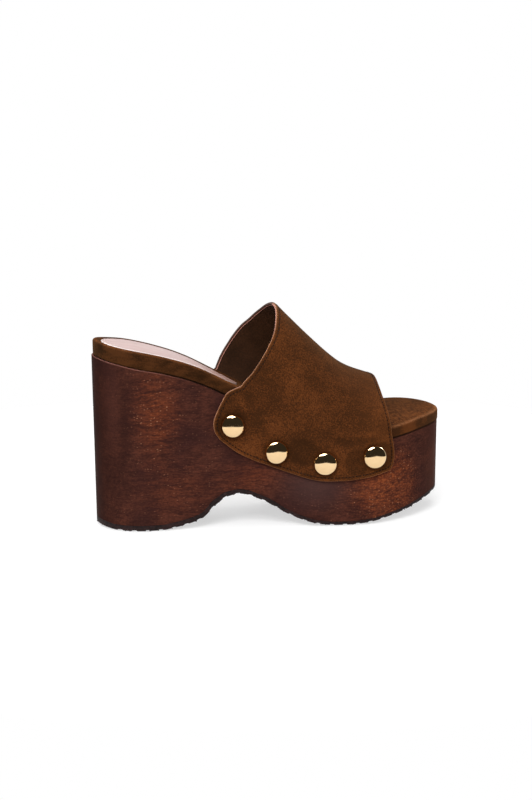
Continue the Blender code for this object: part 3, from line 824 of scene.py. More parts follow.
sock_base = sock_places(SOCK_INSET)
sock_rings = [
    ring(sock_base, SOCK_INSET, sock_top(sock_base) - SOCK_DEPTH, sock_share(sock_base)),
    *rounded_top(sock_places, SOCK_INSET, sock_top, SOCK_ROUND, 4, sock_share),
]
sock = new_object("heel_sock_leather", skin("heel_sock_leather", sock_rings))
pink, pink_in, place = new_finish("pale_pink_leather", {
    "Specular IOR Level": 0.45, "Coat Weight": 0.06, "Coat Roughness": 0.30,
})
cloud = noise(place, 0.030, 2.0, stretch=(2.5, 1, 1), seed=2.0)
grain = noise(place, 0.0011, 3.0, 0.6, seed=3.0)
streak = noise(place, 0.004, 2.0, stretch=(18, 1, 1), seed=5.0)
tone = smooth(cloud * 0.5 + streak * 0.4 + grain * 0.15, 0.35, 0.75)
body = blend(tone, stain(SOCK_PINK), stain(SOCK_PALE))
# A white cut edge all round, also standing for the painted highlight along it
body = blend(stored(place, "bare_edge_and_highlight"), body, stain(SOCK_EDGE_AND_HIGHLIGHT))
# Painted shade on the front of the sock, where it runs under the upper
body = blend(smooth(axis(place, "X"), -0.068, -0.034) * 0.6, body, stain(SOCK_SHADE))
body.into(pink_in["Base Color"])
(0.46 + grain * 0.14).into(pink_in["Roughness"])
bump(grain * 0.00006 + streak * 0.00003).into(pink_in["Normal"])
point_values(sock.data, "bare_edge_and_highlight", np.repeat(EDGE_AND_HIGHLIGHT_SHARE, 2 * len(sock_base)))
sock.data.materials.append(pink)
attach(sock, "root")
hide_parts("heel_sock")

# Upper
# One piece of brown suede, backed with dark leather, is drawn over the last as an arch above the foot and
# an upright wall beside the wood. Its edge is cut clean, and it is creased where the foot and studs pull it.
LEATHER = 2.2
WALL_UNIT = 50.0
SHOULDER_RISE = 1.0
LEAN_FRONT = 0.2
LEAN_START = 5.0
FULLNESS = 3.0
FULL_CENTRE = -12.0
FULL_LENGTH = 24.0
FULL_TURN = 1.3
RIDGE_SIDE = 1.0
RIDGE = [
    (-46.0, 175.1), (-20.0, 162.6), (4.0, 147.2), (10.6, 140.7), (27.7, 123.9), (43.0, 110.1), (50.0, 104.9),
    (57.0, 101.2), (66.0, 97.8), (76.0, 94.5),
]
# Cut edges as (x, turn): turn is 0 on the ridge, 1 at the shoulder and more down the wall
COLLAR = {
    LATERAL: [
        (3.5, 0.0), (2.8, 0.183), (-2.0, 0.466), (-9.2, 0.666), (-18.8, 0.858), (-26.1, 0.974),
        (-35.9, 1.16), (-40.0, 1.322), (-44.3, 1.544), (-46.0, 1.673), (-45.4, 1.793), (-42.0, 1.867),
    ],
    MEDIAL: [
        (3.5, 0.0), (-0.2, 0.29), (-7.1, 0.497), (-14.4, 0.635), (-22.5, 0.793), (-28.7, 0.922),
        (-34.2, 1.084), (-38.8, 1.297), (-42.2, 1.518), (-43.4, 1.657), (-42.4, 1.777), (-38.7, 1.848),
    ],
}
LOWER_EDGE = [
    (-31.5, 1.922), (-21.4, 1.928), (-8.0, 1.894), (5.0, 1.861), (17.8, 1.823), (30.8, 1.779), (44.4, 1.724),
    (58.4, 1.666), (67.5, 1.629),
]
FRONT_EDGE = [
    (74.4, 0.0), (72.8, 0.3), (72.5, 0.55), (74.3, 1.0), (76.5, 1.25), (77.4, 1.38), (77.0, 1.49),
    (75.8, 1.56), (73.2, 1.61),
]
EDGE_GAP = 4.4
EDGE_OFFSETS = (0.0, 0.12, 0.3, 0.55, 0.9, 1.3, 1.7, 2.1, 2.5, 2.9, 3.4, 4.0)
EDGE_STEP = 0.08
EDGE_ROUND = 0.5
LINING_ROUND = 0.35
PATTERN_LENGTH = 92.0
PATTERN_DEPTH = 118.0
PATTERN_COLUMNS = 92
PATTERN_ROWS = 70
PATTERN_CROWDING = 0.2
SEAM_INSET = 2.3
SEAM_DEPTH = 0.24
SEAM_HALF = 0.75
SEAM_INSIDE = 0.4
SEAM_SHADE = 0.9
ROLL_INSET = 1.1
ROLL_HALF = 0.7
ROLL_HEIGHT = 0.04
OFF_WOOD_FADE = 0.12
# Rows round the cut edge: share of the way through the leather, and how far the row bulges
RIM_PARTS = ((0.25, 0.14), (0.5, 0.18), (0.75, 0.14))
STUD_PLACES = [(-33.4, 70.0), (-3.7, 51.4), (27.8, 44.0), (61.7, 47.4)]
STUD_RADIUS = 8.1
STUD_DENT = 0.45
DENT_FLAT = 0.8
DENT_REACH = 3.2
STUD_SHADOW_REACH = 1.1
CREASE_EDGE = 1.0
CREASE_FADE = 6.0
CREASES = {
    # x and z where a crease starts and ends, half width, height above the leather; less than zero is a trough
    LATERAL: [
        (-31.0, 92.5, -21.0, 77.5, 3.4, 0.85),
        (-26.0, 94.0, -15.5, 79.0, 4.0, -0.80),
        (-38.5, 84.0, -32.0, 89.5, 3.0, -0.70),
        (-30.0, 80.0, -24.5, 73.0, 2.6, -0.60),
        (-20.0, 75.0, -9.5, 61.0, 5.0, -0.80),
        (-15.0, 76.0, -4.0, 63.0, 4.5, 0.45),
        (6.0, 59.0, 24.0, 54.0, 4.5, -0.60),
        (9.0, 72.0, 24.0, 65.0, 3.5, -0.55),
        (12.0, 76.0, 30.0, 70.0, 4.0, 0.40),
        (30.0, 60.5, 45.0, 57.0, 2.4, -0.70),
        (45.0, 57.0, 67.0, 58.6, 2.2, -0.85),
        (34.0, 64.0, 64.0, 63.0, 3.0, 0.60),
        (38.0, 53.5, 54.0, 53.0, 2.6, 0.45),
        (40.0, 84.0, 58.0, 74.0, 5.0, -0.35),
        (14.0, 92.0, 50.0, 80.0, 8.0, -0.40),
        (-8.0, 111.0, 14.0, 97.0, 8.0, 0.45),
        (6.0, 126.0, 22.0, 112.0, 5.0, -0.35),
    ],
    MEDIAL: [
        (-29.0, 93.0, -19.0, 78.0, 3.0, 1.00),
        (-24.0, 94.0, -14.0, 80.0, 4.2, -0.70),
        (-18.0, 73.0, -9.0, 61.0, 5.5, -0.70),
        (10.0, 71.0, 26.0, 64.0, 3.8, -0.50),
        (32.0, 56.0, 64.0, 58.0, 2.4, -0.70),
        (34.0, 62.5, 60.0, 63.0, 3.2, 0.50),
        (8.0, 93.0, 50.0, 81.0, 8.0, -0.40),
        (-6.0, 109.0, 16.0, 96.0, 8.0, 0.40),
    ],
}
LINING_DARK = (45, 28, 17)
LINING_LIGHT = (69, 43, 27)
# Strips along the edge of the lining: how far from the cut each one ends, and how softly
TURNED_SUEDE = 0.7
TURNED_PINK = 1.3
TURNED_GROOVE = 1.8
TURNED_FADE = 0.2
RIDGE_PAINTED_SHADE = (54, 34, 22)
RIDGE_SHADE_FADE = (0.24, 0.05)
EDGE_TAN = (124, 79, 46)
EDGE_PALE = (166, 113, 70)
EDGE_BROWN_AND_FAR_SHADE = (60, 36, 24)
EDGE_PINK = (190, 134, 118)
EDGE_GROOVE_SHADE = (20, 12, 8)


def through(points, shares):
    """Points at those shares of the length of a smooth curve through the given (x, turn) points."""
    knots = np.array(points, float) * (1.0, WALL_UNIT)
    before = knots[1] * (1, -1) if knots[0][1] == 0 else 2 * knots[0] - knots[1]
    padded = np.vstack([before, knots, 2 * knots[-1] - knots[-2]])
    fine = []
    for a, b, c, d in zip(padded, padded[1:], padded[2:], padded[3:]):
        for t in np.linspace(0, 1, 24, endpoint=False):
            even = 2 * b + (c - a) * t
            bend = (2 * a - 5 * b + 4 * c - d) * t**2 + (3 * b - a - 3 * c + d) * t**3
            fine.append((even + bend) / 2)
    fine = np.array([*fine, knots[-1]])
    run = np.concatenate([[0], np.cumsum(np.linalg.norm(np.diff(fine, axis=0), axis=1))])
    at = np.asarray(shares) * run[-1]
    return np.stack([np.interp(at, run, fine[:, 0]), np.interp(at, run, fine[:, 1]) / WALL_UNIT], 1)


def cut_edges(hand, along, around):
    """The four edges of half the pattern: ridge, lower edge, collar and front edge."""
    back = through(COLLAR[hand], around)
    front = through(FRONT_EDGE, around)
    ridge = back[0] + np.asarray(along)[:, None] * (front[0] - back[0])
    between = [p for p in LOWER_EDGE if p[0] > COLLAR[hand][-1][0] + EDGE_GAP]
    lower = through([COLLAR[hand][-1], *between, FRONT_EDGE[-1]], along)
    return ridge, lower, back, front


def cut_pattern(hand, along, around):
    """Half the pattern as rows of (x, turn) from the ridge to the lower edge."""
    ridge, lower, back, front = cut_edges(hand, along, around)
    u = along[None, :, None]
    v = around[:, None, None]
    ruled = (1 - v) * ridge[None] + v * lower[None] + (1 - u) * back[:, None] + u * front[:, None]
    top_corners = (1 - u) * (1 - v) * ridge[0] + u * (1 - v) * ridge[-1]
    corners = top_corners + (1 - u) * v * lower[0] + u * v * lower[-1]
    return ruled - corners


def shoulder(x):
    """Height at which the arch over the foot ends and the upright wall begins."""
    return sole("footbed_top", x) + SHOULDER_RISE


def vault(x, turn, hand):
    """The leather's outer face: an arch over the foot, then an upright wall beside the wood."""
    swell = np.sin(math.pi * np.clip(turn / FULL_TURN, 0, 1)) ** 2
    swell = swell * FULLNESS * np.exp(-(((x - FULL_CENTRE) / FULL_LENGTH) ** 2))
    wall = side(x, hand, -GAP - LEATHER) - RIDGE_SIDE
    rise = monotone(RIDGE, x) - shoulder(x)
    angle = (1 - np.clip(turn, 0, 1)) * math.pi / 2
    lean = LEAN_FRONT * np.clip((x - LEAN_START) / (FRONT_EDGE[0][0] - LEAN_START), 0, 1)
    out = np.cos(angle)
    up = (1 - lean) * np.sin(angle) + lean * (1 + np.cos(math.pi * out)) / 2
    height = shoulder(x) + np.where(turn >= 1, (1 - turn) * WALL_UNIT, rise * up)
    return drafted(x, RIDGE_SIDE + wall * out + hand * swell, height) + shoe_offset


def stud_seat(x, z, hand):
    """Where a stud's back lies on the leather: its centre, and the way that it faces."""
    def on_wall(x, z):
        return Vector(vault(np.array(x), np.array(1 + (shoulder(x) - z) / WALL_UNIT), hand))

    centre = on_wall(x, z)
    before = on_wall(x - STUD_RADIUS, z)
    after = on_wall(x + STUD_RADIUS, z)
    facing = (after - before).cross(on_wall(x, z + STUD_RADIUS) - centre).normalized() * -hand
    proud = max((before - centre).dot(facing), (after - centre).dot(facing), 0.0)
    return centre + facing * (proud + GAP * MM), facing


def edged(count, length, share):
    """Shares from 0 to 1 with a row at each edge offset from both ends of that length."""
    close = np.array(EDGE_OFFSETS) / length
    even = np.linspace(0, 1, count)
    middle = even - share * np.sin(2 * math.pi * even) / (2 * math.pi)
    span = close[-1] + (1 - 2 * close[-1]) * middle[1:-1]
    return np.concatenate([close, span, 1 - close[::-1]])


def crease_height(points, hand):
    """Height of the listed creases, in millimetres, at points of one side."""
    flat = points[..., (0, 2)] / MM
    total = np.zeros(points.shape[:-1])
    for x0, z0, x1, z1, half, height in CREASES[hand]:
        start = np.array([x0, z0])
        run = np.array([x1 - x0, z1 - z0])
        t = ((flat - start) @ run) / (run @ run)
        away = np.linalg.norm(flat - start - np.clip(t, 0, 1)[..., None] * run, axis=-1)
        dying = np.clip(1.15 - np.abs(t - 0.5) * 1.3, 0, 1) ** 0.5
        total += height * np.exp(-((away / half) ** 2)) * dying
    return total


# Both halves of the pattern, bent over the last and joined along the ridge
along = edged(PATTERN_COLUMNS, PATTERN_LENGTH, PATTERN_CROWDING)
above_edge = np.linspace(0, 1, PATTERN_ROWS)[:-1] * (1 - EDGE_OFFSETS[-1] / PATTERN_DEPTH)
around = np.concatenate([above_edge, edged(4, PATTERN_DEPTH, 0)[-len(EDGE_OFFSETS):]])
halves = {hand: cut_pattern(hand, along, around) for hand in (LATERAL, MEDIAL)}
faces_of = {hand: vault(rows[..., 0], rows[..., 1], hand) for hand, rows in halves.items()}
outer = np.concatenate([faces_of[LATERAL][::-1], faces_of[MEDIAL][1:]])
turns = np.concatenate([halves[LATERAL][::-1, :, 1], halves[MEDIAL][1:, :, 1]])
rows, columns = outer.shape[:2]
facing = np.cross(np.gradient(outer, axis=1), np.gradient(outer, axis=0))
facing /= np.linalg.norm(facing, axis=-1, keepdims=True)

# How far every point lies from the cut edge, in millimetres
index = np.arange(rows * columns).reshape(rows, columns)
border = np.concatenate([index[0], index[1:, -1], index[-1, -2::-1], index[-2:0:-1, 0]])
loop = outer.reshape(-1, 3)[border]
ring_points = np.concatenate([loop, loop[:1]])
run = np.concatenate([[0], np.cumsum(np.linalg.norm(np.diff(ring_points, axis=0), axis=1))])
dense = np.arange(0, run[-1], EDGE_STEP * MM)
edge_tree = KDTree(len(dense))
for i, point in enumerate(zip(*(np.interp(dense, run, ring_points[:, part]) for part in range(3)))):
    edge_tree.insert(point, i)
edge_tree.balance()
edge_mm = np.array([edge_tree.find(p)[2] for p in outer.reshape(-1, 3)]).reshape(rows, columns) / MM

# Creases that die out at the edge, dents under the studs, and a painted shadow round each stud
crease = np.zeros((rows, columns))
middle = len(around) - 1
crease[:middle] = crease_height(outer[:middle], LATERAL)
crease[middle:] = crease_height(outer[middle:], MEDIAL)
crease *= np.clip((edge_mm - CREASE_EDGE) / CREASE_FADE, 0, 1)
dent = np.zeros((rows, columns))
stud_shadow = np.zeros((rows, columns))
for hand in (LATERAL, MEDIAL):
    for x, z in STUD_PLACES:
        seat, way = stud_seat(x, z, hand)
        way = np.array(way)
        from_seat = outer - np.array(seat)
        off_axis = np.linalg.norm(from_seat - (from_seat @ way)[..., None] * way, axis=-1) / MM
        off_dent = np.maximum(off_axis - STUD_RADIUS * DENT_FLAT, 0)
        off_stud = np.maximum(off_axis - STUD_RADIUS, 0)
        dent -= STUD_DENT * np.exp(-((off_dent / DENT_REACH) ** 2))
        stud_shadow = np.maximum(stud_shadow, np.exp(-((off_stud / STUD_SHADOW_REACH) ** 2)))


def round_over(distance, radius):
    """How far a face has dropped at a distance from its rounded edge."""
    inside = np.clip(radius - distance, 0, radius)
    return radius - np.sqrt(radius**2 - inside**2)


# How far the suede and the lining rise from the plain face
seam = SEAM_DEPTH * np.exp(-(((edge_mm - SEAM_INSET) / SEAM_HALF) ** 2))
roll = ROLL_HEIGHT * np.exp(-(((edge_mm - ROLL_INSET) / ROLL_HALF) ** 2))
rise = crease + dent + roll - seam - round_over(edge_mm, EDGE_ROUND)
off_wood = np.clip((1.0 - turns) / OFF_WOOD_FADE, 0, 1)
inner_rise = -LEATHER + crease * off_wood + round_over(edge_mm, LINING_ROUND) + seam * SEAM_INSIDE
outer_points = outer + facing * rise[..., None] * MM
inner_points = outer + facing * inner_rise[..., None] * MM

# The cut edge between them, which bulges a little
inward = np.zeros_like(outer)
inward[0] = outer[1] - outer[0]
inward[-1] = outer[-2] - outer[-1]
inward[1:-1, 0] = outer[1:-1, 1] - outer[1:-1, 0]
inward[1:-1, -1] = outer[1:-1, -2] - outer[1:-1, -1]
outward = -inward.reshape(-1, 3)[border]
outward /= np.linalg.norm(outward, axis=1, keepdims=True)
high = outer_points.reshape(-1, 3)[border]
low = inner_points.reshape(-1, 3)[border]
rim_loops = [high + (low - high) * part + outward * bulge * MM for part, bulge in RIM_PARTS]

# One closed mesh: suede outside, lining inside, and the cut edge round both
points = np.concatenate([outer_points.reshape(-1, 3), inner_points.reshape(-1, 3), *rim_loops])
per_face = rows * columns
rim_points = len(RIM_PARTS) * len(border)
rim_rows = 2 * per_face + np.arange(rim_points).reshape(-1, len(border))
loops = [border, *rim_rows, border + per_face]
quads = np.stack([index[:-1, :-1], index[:-1, 1:], index[1:, 1:], index[1:, :-1]], -1).reshape(-1, 4)
lining_quads = quads[:, ::-1] + per_face
rim_quads = np.concatenate([
    np.stack([a, b, np.roll(b, -1), np.roll(a, -1)], -1) for a, b in zip(loops, loops[1:])
])
upper_mesh = bpy.data.meshes.new("upper_suede")
upper_mesh.from_pydata(points.tolist(), [], np.concatenate([quads, lining_quads, rim_quads]).tolist())
finish_of = np.concatenate([np.zeros(len(quads)), np.full(len(lining_quads), 2), np.ones(len(rim_quads))])
upper_mesh.polygons.foreach_set("material_index", finish_of.astype(np.int32))
upper_mesh.update()
upper_mesh.shade_smooth()
rim_zero = np.zeros(rim_points)
point_values(upper_mesh, "edge", np.concatenate([edge_mm.ravel(), edge_mm.ravel(), rim_zero]))
point_values(upper_mesh, "stud_shadow", np.concatenate([stud_shadow.ravel(), stud_shadow.ravel() * 0, rim_zero]))
point_values(upper_mesh, "crease", np.concatenate([crease.ravel(), crease.ravel(), rim_zero]))
# Painted shade along the top of the arch, fading down both sides
ridge = np.clip((RIDGE_SHADE_FADE[0] - turns) / (RIDGE_SHADE_FADE[0] - RIDGE_SHADE_FADE[1]), 0, 1)
point_values(upper_mesh, "ridge", np.concatenate([ridge.ravel(), ridge.ravel() * 0, rim_zero]))
rim_through = np.repeat([part for part, _ in RIM_PARTS], len(border))
point_values(upper_mesh, "through", np.concatenate([np.zeros(per_face), np.ones(per_face), rim_through]))

suede, suede_in, place = new_finish("brown_suede", SUEDE_FINISH)
cloud, stroke, pile = suede_nap(place, (1.6, 1.2, 1.0))
edge = stored(place, "edge")
painted_stud_shadow = stored(place, "stud_shadow")
fold = stored(place, "crease")
# The tone follows the creases: partly the lie of the nap, partly painted shade in troughs and painted
# highlight on crests
tone = smooth(cloud * 0.34 + stroke * 0.16 + pile * 0.74 + fold * 0.07, 0.53, 0.73)
body = blend(tone, stain(SUEDE_DARK), stain(SUEDE_MID))
body = blend(smooth(cloud * 0.4 + pile * 0.7 + fold * 0.1, 0.55, 0.80) * 0.5, body, stain(SUEDE_LIGHT))
along_upper = axis(place, "X")
body = blend(smooth(along_upper, 0.040, 0.072) * pile * 0.32, body, stain(SUEDE_LIGHT))
# Suede rubbed lighter along the cut edge, most at the front, partly painted highlight
front_wear_and_highlight = smooth(along_upper, 0.050, 0.062)
body = blend(smooth(edge, 0.6, 0.1) * (front_wear_and_highlight * 0.5 + 0.30), body, stain(SUEDE_WEAR_AND_HIGHLIGHT))
# Painted shade along the ridge
body = blend(stored(place, "ridge") * 0.6, body, stain(RIDGE_PAINTED_SHADE))
# Painted shade along the seam's groove, and a painted shadow round each stud
seam_shade = smooth(edge, SEAM_INSET - SEAM_SHADE, SEAM_INSET)
seam_shade = seam_shade * smooth(edge, SEAM_INSET + SEAM_SHADE, SEAM_INSET)
body = blend(seam_shade * 0.28 + painted_stud_shadow * 0.55, body, stain(BAND_DARK_AND_SHADE))
body.into(suede_in["Base Color"])
(0.84 + pile * 0.14).into(suede_in["Roughness"])
bump(pile * 0.00010 + stroke * 0.00018).into(suede_in["Normal"])

cut_edge, cut_in, place = new_finish("cut_leather_edge", {"Specular IOR Level": 0.3})
fray = noise(place, 0.0012, 3.0, 0.6, seed=1.0)
body = blend(smooth(fray, 0.35, 0.7), stain(EDGE_TAN), stain(EDGE_PALE))
# The cut edge's far side is brown in painted shade; its near side is tan, partly painted highlight, pink on
# its inner half
shaded = smooth(axis(place, "Y"), -0.004, 0.006)
body = blend(shaded, body, stain(EDGE_BROWN_AND_FAR_SHADE))
body = blend(smooth(stored(place, "through"), 0.36, 0.46) * (1 - shaded), body, stain(EDGE_PINK))
body.into(cut_in["Base Color"])
(0.70 + fray * 0.2).into(cut_in["Roughness"])
bump(fray * 0.00015).into(cut_in["Normal"])

lining, lining_in, place = new_finish("lining_leather", {"Specular IOR Level": 0.15})
cloud = noise(place, 0.014, 3.0, seed=4.0)
grain = noise(place, 0.0010, 3.0, 0.6, seed=8.0)
edge = stored(place, "edge")
body = blend(smooth(cloud * 0.4 + grain * 0.6, 0.32, 0.72), stain(LINING_DARK), stain(LINING_LIGHT))
# A dark strip of painted shade where the turned edge meets the lining
body = blend(smooth(edge, TURNED_GROOVE + TURNED_FADE, TURNED_GROOVE), body, stain(EDGE_GROOVE_SHADE))
body = blend(smooth(edge, TURNED_PINK + TURNED_FADE, TURNED_PINK), body, stain(EDGE_PINK))
body = blend(smooth(edge, TURNED_SUEDE + TURNED_FADE, TURNED_SUEDE), body, stain(EDGE_BROWN_AND_FAR_SHADE))
body.into(lining_in["Base Color"])
(0.52 + grain * 0.2).into(lining_in["Roughness"])
bump(grain * 0.00010).into(lining_in["Normal"])
for finish in (suede, cut_edge, lining):
    upper_mesh.materials.append(finish)
upper = new_object("upper_suede", upper_mesh)
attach(upper, "root")
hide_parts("upper")

# Stitches
# A dark brown thread is sewn through leather and lining, a little inside every cut edge. Each stitch goes
# down through its own needle hole, and shows on the outside and on the lining.
STITCH_PITCH = 2.4
STITCH_LENGTH = 1.3
THREAD_RADIUS = 0.32
HOLE_RADIUS = 0.48
SUNK_OUTSIDE = 0.35
SUNK_INSIDE = 0.8
SLOPE_STEP_X = 0.2
SLOPE_STEP_TURN = 0.004
THREAD_DARK = (32, 18, 8)
THREAD_LIGHT = (60, 34, 16)
HOLE_SHADE = (12, 7, 4)


def edge_run(hand, count=160):
    """Collar and lower edge of one side as (x, turn), with the front edge that closes them."""
    shares = np.linspace(0, 1, count)
    _, lower, back, front = cut_edges(hand, shares, shares)
    return back, lower, front


def seam_loop(inset):
    """A closed run of points on the leather, that far inside its edge, and the way it faces there."""
    back_l, lower_l, front_l = edge_run(LATERAL)
    back_m, lower_m, front_m = edge_run(MEDIAL)
    parts = [
        (back_l[::-1], LATERAL), (back_m[1:], MEDIAL), (lower_m[1:], MEDIAL), (front_m[::-1][1:], MEDIAL),
        (front_l[1:], LATERAL), (lower_l[::-1][1:-1], LATERAL),
    ]
    flat = np.concatenate([part for part, _ in parts])
    hands = np.concatenate([np.full(len(part), hand) for part, hand in parts])

    def face(x, turn):
        across = turn < 0
        near_side = np.where(across, -hands, hands)[:, None] == LATERAL
        return np.where(near_side, vault(x, np.abs(turn), LATERAL), vault(x, np.abs(turn), MEDIAL))

    x, turn = flat.T
    edge = face(x, turn)
    by_x = (face(x + SLOPE_STEP_X, turn) - face(x - SLOPE_STEP_X, turn)) / (2 * SLOPE_STEP_X)
    turn_above = np.maximum(turn - SLOPE_STEP_TURN, 0)
    turn_span = SLOPE_STEP_TURN + np.minimum(turn, SLOPE_STEP_TURN)
    by_turn = (face(x, turn + SLOPE_STEP_TURN) - face(x, turn_above)) / turn_span[:, None]
    lie = np.roll(edge, -2, axis=0) - np.roll(edge, 2, axis=0)
    way = np.cross(by_x, by_turn) * hands[:, None]
    into = np.cross(lie, way)
    into *= inset * MM / np.linalg.norm(into, axis=1, keepdims=True)
    xx, xt, tt = (by_x * by_x).sum(1), (by_x * by_turn).sum(1), (by_turn * by_turn).sum(1)
    ix, it = (by_x * into).sum(1), (by_turn * into).sum(1)
    under = xx * tt - xt * xt
    moved_x = x + (ix * tt - it * xt) / under
    moved_turn = turn + (it * xx - ix * xt) / under
    return face(moved_x, moved_turn), way / np.linalg.norm(way, axis=1, keepdims=True)


def point_ways(mesh, ways):
    """Stores the way that each point of a mesh faces, for its node tree."""
    layer = mesh.attributes.new("way", "FLOAT_VECTOR", "POINT")
    layer.data.foreach_set("vector", np.asarray(ways, np.float32).ravel())


def set_out(points, form, turned, scale, finish):
    """A form on every point of a node tree, as plain mesh with that finish."""
    placed = points.node("GeometryNodeInstanceOnPoints", values={
        "Points": points, "Instance": form, "Rotation": turned, "Scale": scale,
    })
    placed = points.node("GeometryNodeRealizeInstances", values={"Geometry": placed})
    return points.node("GeometryNodeSetMaterial", values={"Geometry": placed, "Material": finish})


thread, thread_in, place = new_finish("dark_thread", {"Specular IOR Level": 0.1})
twist = noise(place, 0.0005, 2.0, seed=2.0)
blend(twist, stain(THREAD_DARK), stain(THREAD_LIGHT)).into(thread_in["Base Color"])
(0.6 + twist * 0.2).into(thread_in["Roughness"])
# Each needle hole is a flat dark bead: painted shade of the hole, with some dark thread in it
hole, hole_in, place = new_finish("needle_hole_shade", {"Specular IOR Level": 0.1, "Roughness": 0.95})
blend(noise(place, 0.0006), stain(HOLE_SHADE), stain(THREAD_DARK)).into(hole_in["Base Color"])

seam_points, seam_way = seam_loop(SEAM_INSET)
outside = seam_points + seam_way * (-SEAM_DEPTH + THREAD_RADIUS * SUNK_OUTSIDE) * MM
lining_seam = -LEATHER + SEAM_INSIDE * SEAM_DEPTH
within = seam_points + seam_way * (lining_seam + THREAD_RADIUS * SUNK_INSIDE) * MM
count = len(outside)
path = bpy.data.meshes.new("stitches")
links = [(k * count + i, k * count + (i + 1) % count) for k in range(2) for i in range(count)]
path.from_pydata(np.concatenate([outside, within]).tolist(), links, [])
point_ways(path, np.concatenate([seam_way, -seam_way]))

# One bead for each stitch and one for each needle hole, turned to follow the seam
sewing, size = new_tree("lock_stitches", {
    "Pitch": "Float", "Length": "Float", "Radius": "Float", "Hole": "Float", "Thread": "Material",
    "Hole finish": "Material",
})
line = size["Geometry"]
run_line = line.node("GeometryNodeMeshToCurve", values={"Mesh": line})
run_line = line.node("GeometryNodeResampleCurve", {"mode": "LENGTH"}, {
    "Curve": run_line, "Length": size["Pitch"],
})
tangent = line.node("GeometryNodeInputTangent")
away = line.node("GeometryNodeInputNamedAttribute", {"data_type": "FLOAT_VECTOR"}, {"Name": "way"})
turned = line.node("FunctionNodeAlignRotationToVector", {"axis": "X"}, {"Vector": tangent})
turned = line.node("FunctionNodeAlignRotationToVector", {"axis": "Z", "pivot_axis": "X"}, {
    "Rotation": turned, "Vector": away,
})
bead = line.node("GeometryNodeMeshUVSphere", values={"Segments": 8, "Rings": 5, "Radius": 1.0})
half_stitch = size["Length"] * 0.5
long = line.node("ShaderNodeCombineXYZ", values={0: half_stitch, 1: size["Radius"], 2: size["Radius"]})
wide = line.node("ShaderNodeCombineXYZ", values={0: size["Hole"], 1: size["Hole"], 2: size["Hole"] * 0.5})
stitches = set_out(run_line, bead, turned, long, size["Thread"])
step = line.node("ShaderNodeVectorMath", {"operation": "SCALE"}, {0: tangent, "Scale": half_stitch})
between = line.node("GeometryNodeSetPosition", values={"Geometry": run_line, "Offset": step})
holes = set_out(between, bead, turned, wide, size["Hole finish"])
joined = line.node("GeometryNodeJoinGeometry", values={0: stitches})
holes.into(joined.socket.node.inputs[0])
joined = line.node("GeometryNodeSetShadeSmooth", values={"Geometry": joined})
stitching = new_object("stitches", path)
grown(stitching, sewing, joined, {
    "Pitch": STITCH_PITCH * MM, "Length": STITCH_LENGTH * MM, "Radius": THREAD_RADIUS * MM,
    "Hole": HOLE_RADIUS * MM, "Thread": thread, "Hole finish": hole,
})
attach(stitching, "root")

# Dome studs
# Hollow brass domes, polished and gold plated, are nailed through the leather into the wood, four on each
# side. None sits quite square, because each is driven in by hand.
STUD_HEIGHT = 4.4
STUD_POWER = 2.5
STUD_SKIRT = 1.8
SKIRT_FOOT = 0.96
SKIRT_SIDE = 0.99
STUD_SHARP = 50
STUD_RINGS = 16
STUD_SIDES = 64
STUD_TILT = [-13.0, 11.0, 2.0, -5.0]
# Shares of red, green and blue light that the plating sends back
GOLD = (0.80, 0.58, 0.335)
GOLD_DEEP = (0.74, 0.51, 0.27)

gold, gold_in, place = new_finish("polished_gold", {"Metallic": 1.0})
haze = noise(place, 0.004, 3.0, seed=5.0)
rub = noise(place, 0.0007, 2.0, 0.6, seed=6.0)
blend(haze, (*GOLD, 1.0), (*GOLD_DEEP, 1.0)).into(gold_in["Base Color"])
(0.045 + haze * 0.05 + rub * 0.02).into(gold_in["Roughness"])
bump(haze * 0.000003).into(gold_in["Normal"])

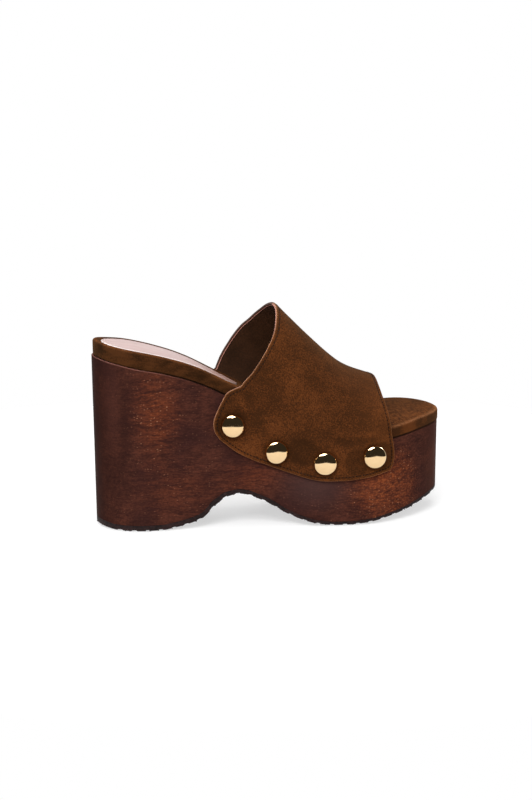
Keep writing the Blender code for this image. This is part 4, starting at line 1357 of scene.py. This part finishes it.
# One dome, spun from half its outline
curve = 2 / STUD_POWER
profile = [
    (0.0, -STUD_SKIRT),
    (SKIRT_FOOT * STUD_RADIUS, -STUD_SKIRT),
    (SKIRT_SIDE * STUD_RADIUS, -0.5 * STUD_SKIRT),
]
for turn in np.linspace(0, math.pi / 2, STUD_RINGS + 1)[:-1]:
    profile.append((STUD_RADIUS * math.cos(turn) ** curve, STUD_HEIGHT * math.sin(turn) ** curve))
profile.append((0.0, STUD_HEIGHT))
dome = bmesh.new()
points = [dome.verts.new((out * MM, 0, up * MM)) for out, up in profile]
edges = [dome.edges.new(pair) for pair in zip(points, points[1:])]
bmesh.ops.spin(
    dome, geom=[*points, *edges], axis=(0, 0, 1), cent=(0, 0, 0), steps=STUD_SIDES, angle=2 * math.pi,
    use_merge=True,
)
bmesh.ops.remove_doubles(dome, verts=dome.verts, dist=1e-6)
bmesh.ops.recalc_face_normals(dome, faces=dome.faces)
dome_mesh = bpy.data.meshes.new("stud_dome")
dome.to_mesh(dome_mesh)
dome.free()
dome_mesh.shade_smooth()
dome_mesh.set_sharp_from_angle(angle=math.radians(STUD_SHARP))
one_dome = new_object("one_dome", dome_mesh)

# Its eight places, each leaning a little towards the heel or the toe
seats = []
ways = []
for hand in (LATERAL, MEDIAL):
    for (x, z), tilt in zip(STUD_PLACES, STUD_TILT):
        seat, way = stud_seat(x, z, hand)
        lean = math.radians(tilt)
        way = (way * math.cos(lean) + Vector((1, 0, 0)) * math.sin(lean)).normalized()
        seats.append(seat)
        ways.append(way)
seat_mesh = bpy.data.meshes.new("dome_studs")
seat_mesh.from_pydata(seats, [], [])
point_ways(seat_mesh, ways)

nailing, size = new_tree("nailed_studs", {"Dome": "Object", "Gold": "Material"})
seat_in = size["Geometry"]
form = seat_in.node("GeometryNodeObjectInfo", values={"Object": size["Dome"]}, output="Geometry")
away = seat_in.node("GeometryNodeInputNamedAttribute", {"data_type": "FLOAT_VECTOR"}, {"Name": "way"})
turned = seat_in.node("FunctionNodeAlignRotationToVector", {"axis": "Z"}, {"Vector": away})
nailed = set_out(seat_in, form, turned, (1.0, 1.0, 1.0), size["Gold"])
studs = new_object("dome_studs", seat_mesh)
grown(studs, nailing, nailed, {"Dome": one_dome, "Gold": gold})
bpy.data.objects.remove(one_dome)
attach(studs, "root")
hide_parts(*[f"stud_{word}_{number}" for word in ("lateral", "medial") for number in (1, 2, 3, 4)])
